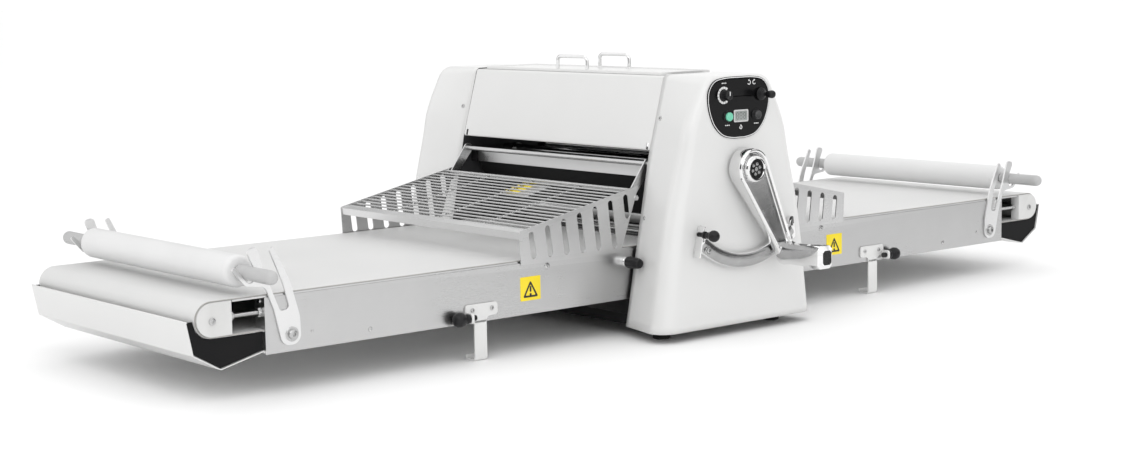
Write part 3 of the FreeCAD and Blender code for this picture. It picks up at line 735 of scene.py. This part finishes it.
controls = {
    "bezel": [(10.4, 0.0), (10.4, 0.7), (9.7, 1.6), (9.2, 2.8), (8.6, 3.0), (8.12, 2.6), (8.12, 0.1)],
    "cap": [(7.9, 3.4), (7.9, 6.0), (7.6, 6.7), (6.9, 7.0), (6.0, 6.7), (3.0, 6.35), (0, 6.3)],
    "dial": [(10.2, 0.5, 0.0), (10.2, 2.5, 0.0), (9.0, 4.0, 0.35), (8.6, 12.5, 0.35), (8.0, 15.0, 0.2),
             (6.6, 16.0, 0.0), (0.01, 16.0, 0.0)],
    # pleated rubber boot, stem and a grip that swells to a round end
    "stick": [(11.5, 3.6), (11.5, 4.6), (10.0, 5.3), (10.4, 6.3), (8.4, 7.2), (8.9, 8.3), (7.0, 9.2),
              (7.4, 10.4), (5.4, 11.6), (4.2, 12.6), (3.6, 13.6), (3.6, 16.8), (4.8, 17.4), (5.4, 19.0),
              (6.0, 22.0), (6.8, 26.5), (7.2, 29.5), (7.0, 32.0), (5.9, 34.4), (3.8, 35.8), (0, 36.2)],
}


def buildPanelControls():
    front = panel["front"]

    def onPanel(node):
        spot = middle(node)
        return at(spot.x, -front, spot.z)

    bm = bmesh.new()
    for button in ("start_button", "stop_button"):
        addLathe(bm, controls["bezel"], onPanel(button), toFront, 44)
    piece("buttonBezels", bm, "machine", "blackPlastic", ["button_rings"])
    for name, node, look in (("startCap", "start_button", "buttonGreen"),
                             ("stopCap", "stop_button", "buttonDark")):
        bm = bmesh.new()
        addLathe(bm, controls["cap"], onPanel(node), toFront, 44)
        piece(name, bm, node, look, [node], 40)
    spot = middle("speed_knob")
    bm = bmesh.new()
    addFluted(bm, [(radius, front + depth, wave) for radius, depth, wave in controls["dial"]], spot, 16, 96)
    piece("speedDial", bm, "speed_knob", "blackPlastic", ["speed_knob"], 35)
    bm = bmesh.new()
    addPrism(bm, roundedBox(spot.x - 0.9, spot.x + 0.9, spot.z - 0.5, spot.z + 7.0, 0.7, 4), -front - 15.7,
             -front - 16.5, 0.15)
    piece("speedDialPointer", bm, "speed_knob", "printWhite", crease=35)
    bm = bmesh.new()
    addLathe(bm, controls["stick"], onPanel("joystick"), toFront, 40)
    piece("joystickBody", bm, "joystick", "blackPlastic", ["joystick"], 50)


buildPanelControls()
print("control panel done")


lever = {"hub": (0, 302), "elbow": (84, 146), "hubR": 37.0, "elbowR": 19.0, "front": 440.0, "backHub": 409.0,
         "backElbow": 424.0, "floor": 433.0, "studs": 6, "studR": 9.2,
         # the grip's sections: depth, left, right, low, high, chamfer
         "grip": [(425, -16, 14, -20, 12, 7), (432, -19.5, 17, -23, 15, 7), (441, -20, 18, -24.5, 17, 7.5),
                  (456, -18, 15.5, -22.5, 14, 7.5), (486, -18.5, 16, -23, 14.5, 7),
                  (519, -20, 18, -24.5, 17, 6.5), (531, -20, 18, -24.5, 17, 6.5), (537, -12, 10, -17, 9, 4)]}


def hullPoint(k, steps, shrink):
    # Point k of the outline round the hub and the elbow, shrunk inwards
    hub = Vector(lever["hub"])
    elbow = Vector(lever["elbow"])
    along = elbow - hub
    lean = math.atan2(along.y, along.x)
    spread = math.acos((lever["hubR"] - lever["elbowR"]) / along.length)
    r0 = max(lever["hubR"] - shrink, 0.4)
    r1 = max(lever["elbowR"] - shrink, 0.4)
    quarter = steps // 4
    part, step = divmod(k, quarter)
    t = step / quarter
    base, a, r = [(hub.lerp(elbow, t), lean + spread, r0 + (r1 - r0) * t),
                  (elbow, lean + spread - 2 * spread * t, r1),
                  (elbow.lerp(hub, t), lean - spread, r1 + (r0 - r1) * t),
                  (hub, lean - spread - (2 * math.pi - 2 * spread) * t, r0)][part]
    return base + Vector((math.cos(a), math.sin(a))) * r


def buildLever():
    steps = 128
    hub = Vector(lever["hub"])
    elbow = Vector(lever["elbow"])
    length = (elbow - hub).length
    axis = (elbow - hub).normalized()
    front, floor = lever["front"], lever["floor"]
    # How far in, and how deep; a depth of zero or less is counted from the sloping back
    rows = [(3.0, 0.0), (0.6, -1.2), (0.0, -4.0), (0.0, front - 6), (0.5, front - 3), (2.0, front - 0.8),
            (4.2, front), (6.4, front - 0.9), (7.6, front - 3.2), (8.4, floor + 1.2), (9.8, floor),
            (13.0, floor - 0.4), (17.0, floor - 0.4), (24.0, floor - 0.4), (36.5, floor - 0.4)]
    rings = []
    for shrink, depth in rows:
        ring = []
        for k in range(steps):
            p = hullPoint(k, steps, shrink)
            share = min(max((p - hub).dot(axis) / length, 0), 1)
            back = lever["backHub"] + (lever["backElbow"] - lever["backHub"]) * min(share * 1.5, 1)
            ring.append(at(p.x, -(depth if depth > 0 else back - depth), p.y))
        rings.append(ring)
    bm = bmesh.new()
    addRings(bm, rings[:11], True, True, False)
    addRings(bm, rings[10:], True, False, True, 1)
    # Boss behind the hub and the domed ring on it
    addLathe(bm, [(30, 404.5), (32, 405.5), (32, 409.5), (30, 411)], at(hub.x, 0, hub.y), toFront, 64)
    dome = [(25.2, -2), (24.4, 1.6), (22.8, 4.2), (20.6, 5.6), (18.6, 5.2), (17.4, 3.4), (17.1, 1.0), (17.1, -1.5),
            (5, -2)]
    addLathe(bm, [(25.5, floor - 1)] + [(r, front + d) for r, d in dome], at(hub.x, 0, hub.y), toFront, 72)
    # Grip: a bevelled bar from the elbow towards the operator
    def section(depth, left, right, low, high, chamfer):
        pts = [(left + chamfer, low), (right - chamfer, low), (right, low + chamfer), (right, high - chamfer),
               (right - chamfer, high), (left + chamfer, high), (left, high - chamfer), (left, low + chamfer)]
        return [at(x, -depth, z) for x, z in pts]

    ex, ez = elbow
    bars = [section(depth, ex + left, ex + right, ez + low, ez + high, chamfer)
            for depth, left, right, low, high, chamfer in lever["grip"]]
    faces = addRings(bm, bars, True, True, True)
    edges = {e for f in faces for e in f.edges if len(e.link_faces) == 2 and e.calc_face_angle(0) > 0.3}
    bmesh.ops.bevel(bm, geom=list(edges), offset=1.3 * mm, segments=3, profile=0.6, affect="EDGES",
                    clamp_overlap=True)
    piece("leverCasting", bm, "lever", ["chrome", "castRecess"], ["lever_arm"])

    # Dark cap in the hub with a plain raised pattern
    bm = bmesh.new()
    centre = at(hub.x, 0, hub.y)
    addLathe(bm, [(17.0, front + 0.8), (17.0, front + 2.6), (16.2, front + 3.4), (14.9, front + 3.4),
                  (14.2, front + 2.6), (6, front + 2.9), (0, front + 3.0)], centre, toFront, 56)
    piece("hubCap", bm, "lever", "panelBlack", ["lever_cap"])
    bm = bmesh.new()
    for k in range(lever["studs"]):
        a = 2 * math.pi / lever["studs"] * k + 0.3
        spot = at(hub.x + lever["studR"] * math.cos(a), 0, hub.y + lever["studR"] * math.sin(a))
        addLathe(bm, [(r, front + d) for r, d in ((3.2, 2.6), (3.2, 3.3), (2.6, 3.9), (0, 4.2))], spot, toFront, 20)
    addLathe(bm, [(r, front + d) for r, d in ((3.8, 2.8), (3.8, 3.6), (3.0, 4.2), (0, 4.4))], centre, toFront, 28)
    piece("hubCapStuds", bm, "lever", "castRecess")


buildLever()

sector = {
    "centre": (0, 302), "inner": 153.0, "outer": 180.0, "from": -41.0, "to": 44.0, "teeth": 44, "tooth": 2.4,
    "back": 409.0, "cast": 417.0, "screws": [(117, 163, 412), (-100, 163, 421)],
    # tabs and their ribs: outline, corner radii, steps in a corner, back and front depth, edge rounding
    "tabs": [([(-122, 151), (-103, 150), (-98, 160), (-100, 206), (-108, 206)], [5, 3, 6, 3, 3], 5, 406.2,
              403.2, 0.5),
             ([(-121.5, 151), (-118.5, 151), (-105, 206), (-108, 206)], 0.8, 2, 421, 403.5, 0.4),
             ([(104, 152), (134, 164), (128, 204), (118, 204)], [4, 7, 4, 4], 5, 412, 403.2, 0.8),
             ([(111, 160), (129, 167), (124.5, 197), (120, 197)], [3, 5, 3, 3], 5, 413.2, 411.8, 0.6)],
    "knob": [(4.2, 409), (4.2, 423), (6.6, 423.2), (6.6, 427), (4.6, 427.4), (4.6, 433), (5.8, 433.4),
             (6.2, 436.5), (6.0, 438.4), (8.3, 441.2), (10.0, 444.8), (10.5, 448.0), (10.0, 451.6),
             (8.3, 454.9), (5.8, 457.2), (2.9, 458.3), (0, 458.5)],
}


def buildSector():
    bm = bmesh.new()
    steps = sector["teeth"] * 6
    cx, cz = sector["centre"]
    inner, outer, back = sector["inner"], sector["outer"], sector["back"]
    rings = []
    for k in range(steps + 1):
        t = k / steps
        a = math.radians(sector["from"] + (sector["to"] - sector["from"]) * t)
        phase = (t * sector["teeth"]) % 1.0
        notch = sector["tooth"] * max(0.0, 1 - abs(phase - 0.5) * 4) if 0.02 < t < 0.98 else 0.0
        rows = [(inner, back), (inner, 416.4), (inner + 1.6, 418.8), (inner + 5, 420.4), (inner + 10, 421),
                (inner + 16, 420.6), (inner + 22, 418.8), (outer - 1.4 - notch * 0.5, 416.2),
                (outer - notch, 413.5), (outer - notch, back)]
        rings.append([at(cx + r * math.sin(a), -y, cz - r * math.cos(a)) for r, y in rows])
    addRings(bm, rings, True, True, True)
    # The front face of the arc is left as cast
    bm.normal_update()
    for face in bm.faces:
        depth = -(face.calc_center_median().y - rollY) / mm
        if depth > sector["cast"] and abs(face.normal.y) > 0.6:
            face.material_index = 1
    for outline, radii, corner, deep, shallow, edge in sector["tabs"]:
        addPrism(bm, softCorners(outline, radii, corner, True), -deep, -shallow, edge)
    piece("sectorCasting", bm, "machine", ["chrome", "castRecess"], ["thickness_sector"], 34)
    bm = bmesh.new()
    for x, z, depth in sector["screws"]:
        addLathe(bm, [(7.4, 0), (7.4, 1.2), (6.9, 1.8), (5.2, 1.8)], at(x, -depth, z), toFront, 32)
        addSocketScrew(bm, at(x, -depth - 1.6, z), toFront, 5.0, 2.8)
    piece("sectorScrews", bm, "machine", "zinc")
    bm = bmesh.new()
    spot = middle("stop_knob")
    addLathe(bm, sector["knob"], at(spot.x, 0, spot.z), toFront, 40)
    piece("stopKnobBall", bm, "stop_knob", "blackPlastic", ["stop_knob"], 40)


buildSector()
print("lever and sector done")


table = {"drive": 68.0, "end": 1016.0, "belt": 29.0, "thick": 2.0, "half": 272.0, "level": 134.0,
         "blockBack": 981.0, "blockR": 26.6, "screwY": 262.0}


def buildBelt(side, direction, name):
    # Endless belt: its cross-section carried round both rollers
    r, thick, half, level = table["belt"], table["thick"], table["half"], table["level"]
    drive, end = table["drive"], table["end"]
    path = []

    def roundRoller(x, start, count):
        for k in range(count):
            a = start - math.pi * k / 32
            outward = Vector((math.cos(a), math.sin(a)))
            path.append((Vector((x, level)) + outward * r, outward))

    for k in range(40):
        path.append((Vector((drive + (end - drive) * k / 40, level + r)), Vector((0, 1))))
    roundRoller(end, math.pi / 2, 33)
    for k in range(1, 40):
        path.append((Vector((end - (end - drive) * k / 40, level - r)), Vector((0, -1))))
    roundRoller(drive, -math.pi / 2, 32)
    across = [-1, -0.999, -0.9, -0.6, -0.3, 0, 0.3, 0.6, 0.9, 0.999, 1]
    rings = []
    for i, (point, outward) in enumerate(path):
        ripple = 0.16 * math.sin(i * 1.7)
        drops = [0.35 if abs(s) == 1 else (0.0 if abs(s) == 0.999 else ripple * (1 - s * s)) for s in across]
        under = [thick - (0.3 if abs(s) == 1 else 0) for s in across]
        ring = []
        for s, drop in list(zip(across, drops)) + list(zip(across, under))[::-1]:
            q = point - outward * max(drop, 0)
            ring.append(at(direction * q.x, s * half, q.y))
        rings.append(ring)
    rings.append(rings[0])
    bm = bmesh.new()
    addRings(bm, rings)
    obj = piece(name, bm, "machine", ["belt", "beltEdge"], [side + "_belt"], 40)
    for face in obj.data.polygons:
        if abs(face.normal.y) > 0.7:
            face.material_index = 1


def bothSides(label, job):
    for side, direction in (("left", -1), ("right", 1)):
        job(side, direction, side + label)


bothSides("Belt", buildBelt)


def buildEnds():
    # Pale end blocks and their adjusting screws
    r, back, end, level = table["blockR"], table["blockBack"], table["end"], table["level"]
    turns = [-math.pi / 2 + math.pi * k / 24 for k in range(1, 24)]
    outline = [(back, level - r), (end, level - r)]
    outline += [(end + r * math.cos(a), level + r * math.sin(a)) for a in turns]
    outline += [(end, level + r), (back, level + r)]
    bm = bmesh.new()
    for direction, y in fourCorners:
        addPrism(bm, mirrored(outline, direction), y * 255, y * 276, 0.9)
    piece("endBlockSet", bm, "machine", "blockWhite", ["end_blocks"])
    bm = bmesh.new()
    thread = []
    for k in range(46):
        thread += [(3.75, 912 + k * 1.5), (3.3, 912.75 + k * 1.5)]
    for direction, y in fourCorners:
        axis = (direction, 0, 0)
        root = at(0, y * table["screwY"], level)
        addLathe(bm, [(0, 911)] + thread + [(0, 981.5)], root, axis, 18)
        for start, height, wide in ((922.2, 6.5, 8.2), (972.5, 6.0, 7.2)):
            addLathe(bm, [(wide * 0.86, start, 0), (wide, start + 0.7, 6), (wide, start + height - 0.7, 6),
                          (wide * 0.86, start + height, 0), (3.6, start + height, 0)], root, axis, 36)
    piece("adjustingScrews", bm, "machine", "zinc", ["tension_screws"])


buildEnds()

tray = {"path": [(1056.6, 133.5), (1059.1, 136), (1048.3, 81.6), (1000.9, 53.9), (922.5, 72.8)], "thick": 1.5,
        "half": 271.0}


def buildTray(side, direction, name):
    bm = bmesh.new()
    addStrip(bm, mirrored(tray["path"], direction), tray["thick"], -tray["half"], tray["half"], 2.2)
    piece(name, bm, "machine", "whitePaint", [side + "_catch_tray"])


bothSides("Tray", buildTray)

leg = {"x": 501.0, "face": 275.2, "thick": 3.0, "half": 13.0, "foot": 251.5, "lugOut": 296.5,
       "head": [(464, 77), (464, 99), (533, 99), (533, 77), (514.5, 76), (514.5, 66), (487.5, 66),
                (487.5, 76)],
       "headRound": [5, 6, 6, 5, 7, 0, 0, 7]}


def legParts(bm, direction, y):
    face, thick = leg["face"], leg["thick"]
    addPrism(bm, softCorners(mirrored(leg["head"], direction), leg["headRound"], 5, True), y * face,
             y * (face + thick), 0.5)
    mid = y * (face + thick / 2)
    path = [(mid, 70), (mid, 1.5), (y * leg["foot"], 1.5), (y * leg["foot"], 9)]
    left, right = (direction * (leg["x"] + half) for half in (-leg["half"], leg["half"]))
    addStrip(bm, path, thick, left, right, 5.0, 0.5, standX)
    if y < 0:
        lug = [(-face, 69), (-face, 87), (-leg["lugOut"], 87), (-leg["lugOut"], 69)]
        addPrism(bm, softCorners(lug, 5, 4, True), direction * 527.5, direction * 532.5, 0.5, standX)


def buildLegs():
    bm = bmesh.new()
    for direction, y in fourCorners:
        legParts(bm, direction, y)
    piece("tableLegSet", bm, "machine", "whitePaint", ["table_legs"])


buildLegs()

knobs = {
    "leg": [(0, 519), (4.8, 519.4), (5.0, 521), (5.0, 533.4), (7.8, 533.6), (8.3, 535), (8.3, 539),
            (7.4, 541), (8.8, 543.4), (11.4, 547.6), (12.5, 553), (11.9, 558), (9.6, 562.2), (5.4, 565),
            (0, 565.6)],
    "legAt": (-289, 78),
    "latch": [(9.0, 275.3), (9.0, 286), (8.4, 286.8), (8.4, 290.8)],
    "latchGrip": [(8.4, 290.4, 0), (10.2, 291.2, 0), (10.6, 293.0, 0.35), (9.6, 312, 0.35), (8.9, 320, 0.25),
                  (7.6, 322.6, 0), (5, 323.0, 0), (0.01, 323.0, 0)],
}


def buildTableKnobs(side, direction, name):
    bm = bmesh.new()
    addLathe(bm, knobs["leg"], at(0, *knobs["legAt"]), (direction, 0, 0), 40)
    piece(side + "LegKnob", bm, side + "_leg_knob", "blackPlastic", [side + "_leg_knob"], 40)
    spot = middle(side + "_latch_knob")
    bm = bmesh.new()
    addLathe(bm, knobs["latch"], at(spot.x, 0, spot.z), toFront, 40, 1)
    addFluted(bm, knobs["latchGrip"], spot, 10, 80)
    piece(side + "LatchKnob", bm, side + "_latch", ["blackPlastic", "chrome"], [side + "_latch_knob"], 36)


bothSides("Knobs", buildTableKnobs)

pin = {"radius": 26.0, "half": 250.0, "handle": 11.5, "tip": 355.0}


def buildPin(side, direction, name):
    axis = middle(side + "_pin_barrel")
    centre = at(axis.x, 0, axis.z)
    r, half = pin["radius"], pin["half"]
    bm = bmesh.new()
    end = [(8.3, half - 12), (8.3, half - 1.2), (9.6, half), (r - 7, half), (r - 4.3, half - 0.5),
           (r - 2.1, half - 2.0), (r - 0.6, half - 4.4), (r, half - 7.2), (r, half - 12), (r, half - 40)]
    profile = [(p, -h) for p, h in end] + [(r, h) for h in (-120, 0, 120)] + end[::-1]
    addLathe(bm, profile, centre, (0, 1, 0), 72)
    piece(side + "PinBarrel", bm, side + "_pin_barrel", "pinWhite", [side + "_pin_barrel"], 35)
    # The handles' grey finish is painted shade
    bm = bmesh.new()
    h, tip = pin["handle"], pin["tip"]
    for y in (-1, 1):
        addLathe(bm, [(7.9, 236), (7.9, 252.5), (11.0, 253.2), (h, 254.4), (h, 275), (h - 0.2, 300), (h, 330),
                      (h, tip - 11.5), (h * 0.97, tip - 8.5), (h * 0.87, tip - 5.6), (h * 0.7, tip - 3),
                      (h * 0.45, tip - 1), (h * 0.2, tip - 0.2), (0, tip)], centre, (0, y, 0), 40)
    addLathe(bm, [(7.9, -237), (7.9, 237)], centre, (0, 1, 0), 24)
    piece(side + "PinHandles", bm, side + "_pin", "handleGrey", [side + "_pin_handles"], 40)


bothSides("Pin", buildPin)
print("tables done")


screws = {"table": [(350.5, 147.5, 6.0), (724.4, 82.5, 4.0), (835.8, 94.5, 2.5)],
          "leg": [(518, 89, 4.0), (476.7, 89, 4.0)], "fork": (876, 95), "flange": (151, 77),
          # a casing screw's height, and the casing's half widths below and above it, at the back and in front
          "casing": [(392.0, ((380, 96.4), (469, 72)), ((380, 121), (469, 76))),
                     (214.0, ((18, 172), (215, 133)), ((18, 195), (215, 163)))]}


def buildScrews():
    bm = bmesh.new()
    for direction, y in fourCorners:
        out = (0, y, 0)
        for x, z, r in screws["table"]:
            addPanScrew(bm, at(direction * x, y * 275, z), out, r, 1.8)
        for x, z, r in screws["leg"]:
            addSocketScrew(bm, at(direction * x, y * 278.2, z), out, r, 2.2)
        addSocketScrew(bm, at(direction * table["end"], y * 276, table["level"] - 2), out, 6.0, 2.6)
        x, z = screws["fork"]
        addLathe(bm, [(12, 0), (12, 1.1), (11.4, 1.6), (8.4, 1.6)], at(direction * x, y * 279, z), out, 44)
        addSocketScrew(bm, at(direction * x, y * 280.4, z), out, 8.0, 5.2, 36)
        for level in screws["flange"]:
            addPanScrew(bm, at(direction * 922, y * 260, level), (direction, 0, 0), 3.5, 2.0)
        for z, inner, outer in screws["casing"]:
            share = (z - inner[0][0]) / (inner[1][0] - inner[0][0])
            near, far = (low[1] + (high[1] - low[1]) * share for low, high in (inner, outer))
            x = near + (far - near) * 0.11 + 1.4
            slope = Vector((direction * (inner[1][0] - inner[0][0]), 0, inner[0][1] - inner[1][1]))
            addSocketScrew(bm, at(direction * x, y * 297, z), slope, 4.5, 1.8)
    piece("screwHeads", bm, "machine", "zinc", ["fixing_screws"])


buildScrews()

label = {"x": 388.5, "half": 22.5, "low": 91, "high": 133, "face": 275.02, "thick": 0.38, "mark": 109.5,
         "triangle": [(-17, -13), (17, -13), (0, 17)], "open": 0.66}


def buildLabels():
    # Yellow label with a plain black triangle and a simple mark in it
    half, face = label["half"], label["face"]
    bm = bmesh.new()
    for x in (-label["x"], label["x"]):
        addPrism(bm, roundedBox(x - half, x + half, label["low"], label["high"], 1.5, 3), -face,
                 -face - label["thick"], 0.05)
    piece("cautionLabels", bm, "machine", "labelYellow", ["warning_labels"])
    bm = bmesh.new()
    for x in (-label["x"], label["x"]):
        z = label["mark"]
        outer = softCorners([(x + u, z + v) for u, v in label["triangle"]], 2.0, 4, True)
        centre = Vector((x, z - 3))
        ringBetween(bm, outer, [centre + (p - centre) * label["open"] for p in outer], -275.3, -275.5)
        addPrism(bm, roundedBox(x - 2.0, x + 2.0, z - 3.5, z + 7.0, 1.8, 4), -275.3, -275.5, 0)
        addLathe(bm, [(2.4, 275.3), (2.4, 275.5)], at(x, 0, z - 8), toFront, 20)
    piece("labelMarks", bm, "machine", "printBlack")


buildLabels()

feet = {"x": 140, "y": 340, "plate": (20, 22),
        "profile": [(14.5, 0), (16.0, 1.2), (16.0, 4.5), (15.2, 5.2), (16.0, 5.9), (16.0, 9.5), (15.2, 10.2),
                    (15.6, 11.0), (14.0, 13.6), (11.0, 14.4), (11.0, 28.5)]}


def buildFeet():
    wide, deep = feet["plate"]
    bm = bmesh.new()
    for direction, side in fourCorners:
        x, y = direction * feet["x"], side * feet["y"]
        addLathe(bm, feet["profile"], at(x, y, 0), (0, 0, 1), 40)
        addPrism(bm, roundedBox(x - wide, x + wide, y - deep, y + deep, 3, 3), 28, 31, 0.4, standZ)
    piece("rubberFeet", bm, "machine", "rubber", ["feet"], 34)


buildFeet()

notice = {"down": -14.0, "across": -66.0, "under": 5.6}


def buildGuardNotice():
    # Small plate with a plain yellow mark under the left guard's bars
    bm = bmesh.new()
    low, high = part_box("left_guard_bars")
    slope = Vector((low.x - high.x, 0, low.z - high.z)).normalized()
    lift = Vector((slope.z, 0, -slope.x))
    start = Vector((high.x, rollY, high.z)) - slope * notice["down"] * mm

    def onSlope(u, v, depth):
        sideways = Vector((0, (v + notice["across"]) * mm, 0))
        return start + slope * (u * mm) + sideways + lift * ((depth - notice["under"]) * mm)

    addPrism(bm, roundedBox(0, 60, 0, 86, 3, 4), -1.0, 0.2, 0.3, onSlope)
    piece("noticePlate", bm, "left_guard", "inox")
    bm = bmesh.new()
    addPrism(bm, roundedBox(4, 56, 42, 82, 2, 4), 0.15, 0.5, 0.1, onSlope)
    piece("noticeLabel", bm, "left_guard", "labelYellow")


buildGuardNotice()
print("small parts done")


dress = {
    "framePaintWithShade": ["frame_plates"],
    "inox": ["left_table_frame", "right_table_frame", "left_guard_frame", "right_guard_frame"],
    "forkSteelPaintedLight": ["pin_forks"],
    "inoxRod": ["guard_pivot_rods", "left_guard_bars", "right_guard_bars", "left_drive_roller",
                "right_drive_roller", "left_end_roller", "right_end_roller", "upper_roller", "lower_roller",
                "lever_shaft"],
    # The tray end plates' black is painted reflection: steel ends mirroring dark surroundings
    "blackPaint": ["tray_end_plates", "base_pan", "roller_carrier"],
    "darkSteel": ["drive_motor", "roller_bearings", "roller_sprocket", "motor_sprocket", "drive_chain"],
}
for look, names in dress.items():
    for name in names:
        slots = nodes[name].data.materials
        if not slots:
            slots.append(finishes[look])
        for k in range(len(slots)):
            slots[k] = finishes[look]


studio = {"camera": (-2.481, -2.823, 0.640), "turn": 39.68, "down": 7.38, "roll": -0.99, "lens": 62.2,
          "world": 1.12, "floor": 60.0}


def plainSheet(name, half, cells, finish, look):
    bm = bmesh.new()
    bmesh.ops.create_grid(bm, x_segments=cells, y_segments=cells, size=half)
    obj = placeMesh(name, bm)
    obj.data.materials.append(finishMaterial(finish, look))
    return obj


def buildStage():
    look = {"light": 0.93, "shade": 0.91, "rough": 0.7, "patch": 0.6, "fine": 40.0, "bump": 0.02}
    floor = plainSheet("floor", studio["floor"], 4, "floorPale", look)


def softLight(name, place, target, width, height, power):
    light = bpy.data.lights.new(name, "AREA")
    light.shape = "RECTANGLE"
    light.size = width
    light.size_y = height
    light.energy = power
    obj = bpy.data.objects.new(name, light)
    obj.location = place
    obj.rotation_euler = (Vector(target) - Vector(place)).to_track_quat("-Z", "Y").to_euler()
    bpy.context.scene.collection.objects.link(obj)


def darkCard(name, place, target, width, height, shade):
    # Studio flag that only gives the bright metal something dark to mirror
    look = {"light": shade, "shade": shade * 0.9, "rough": 0.9, "patch": 1.0, "fine": 20.0, "bump": 0.0}
    obj = plainSheet(name, 0.5, 1, name + "Cloth", look)
    obj.scale = (width, height, 1)
    obj.location = place
    obj.rotation_euler = (Vector(target) - Vector(place)).to_track_quat("Z", "Y").to_euler()
    obj.visible_camera = False
    obj.visible_shadow = False
    obj.visible_diffuse = False


def buildWorld():
    world = bpy.data.worlds.new("studio")
    bpy.context.scene.world = world
    world.use_nodes = True
    tree = world.node_tree
    background = tree.nodes["Background"]
    path = tree.nodes.new("ShaderNodeLightPath")
    split = tree.nodes.new("ShaderNodeSeparateXYZ")
    tree.links.new(tree.nodes.new("ShaderNodeTexCoord").outputs["Generated"], split.inputs["Vector"])
    # What shiny metal mirrors: a pale room with a few dark screens standing in it
    across = maths(tree, "ARCTAN2", split.outputs["Y"], split.outputs["X"])
    waves = maths(tree, "SINE", maths(tree, "ADD", maths(tree, "MULTIPLY", across, 3.0), -2.6), 0.0)
    screens = remap(tree, waves, 0.15, 0.75, 0.0, 1.0)
    height = remap(tree, split.outputs["Z"], 0.55, 0.3, 0.0, 1.0)
    screens = maths(tree, "MULTIPLY", maths(tree, "MULTIPLY", screens, height), path.outputs["Is Glossy Ray"])
    colour = blendColour(tree, screens, (1.0, 1.0, 1.0), (0.03, 0.03, 0.032))
    tree.links.new(colour, background.inputs["Color"])
    background.inputs["Strength"].default_value = studio["world"]


def buildCamera():
    data = bpy.data.cameras.new("camera")
    data.lens = studio["lens"]
    data.sensor_width = 36.0
    data.clip_end = 200.0
    camera = bpy.data.objects.new("camera", data)
    bpy.context.scene.collection.objects.link(camera)
    turn, down, roll = (math.radians(studio[k]) for k in ("turn", "down", "roll"))
    forward = Vector((math.sin(turn) * math.cos(down), math.cos(turn) * math.cos(down), -math.sin(down)))
    level = Vector((math.cos(turn), -math.sin(turn), 0))
    up = level.cross(forward)
    right = level * math.cos(roll) + up * math.sin(roll)
    up = up * math.cos(roll) - level * math.sin(roll)
    x, y, z = studio["camera"]
    camera.matrix_world = Matrix(((right.x, up.x, -forward.x, x), (right.y, up.y, -forward.y, y),
                                  (right.z, up.z, -forward.z, z), (0, 0, 0, 1)))
    bpy.context.scene.camera = camera


buildStage()
buildWorld()
buildCamera()
softLight("keyLight", (-2.6, -2.2, 3.0), (0, 0, 0.2), 2.6, 2.2, 26.0)
softLight("frontLight", (0.8, -3.4, 2.0), (0.2, 0, 0.2), 2.4, 1.6, 6.0)
softLight("topLight", (0, 0.4, 3.2), (0, 0, 0), 3.2, 2.0, 6.0)
darkCard("rightFlag", (3.3, -1.9, 0.5), (0.7, -0.2, 0.1), 1.6, 1.6, 0.12)
darkCard("frontFlag", (1.6, -3.2, 0.35), (0.1, -0.4, 0.25), 0.7, 1.2, 0.05)
darkCard("lowFlag", (0.54, -1.01, 0.085), (0.05, -0.45, 0.1), 0.4, 0.15, 0.03)
bpy.context.scene.view_settings.view_transform = "Standard"
bpy.context.scene.view_settings.look = "None"
print("studio done")
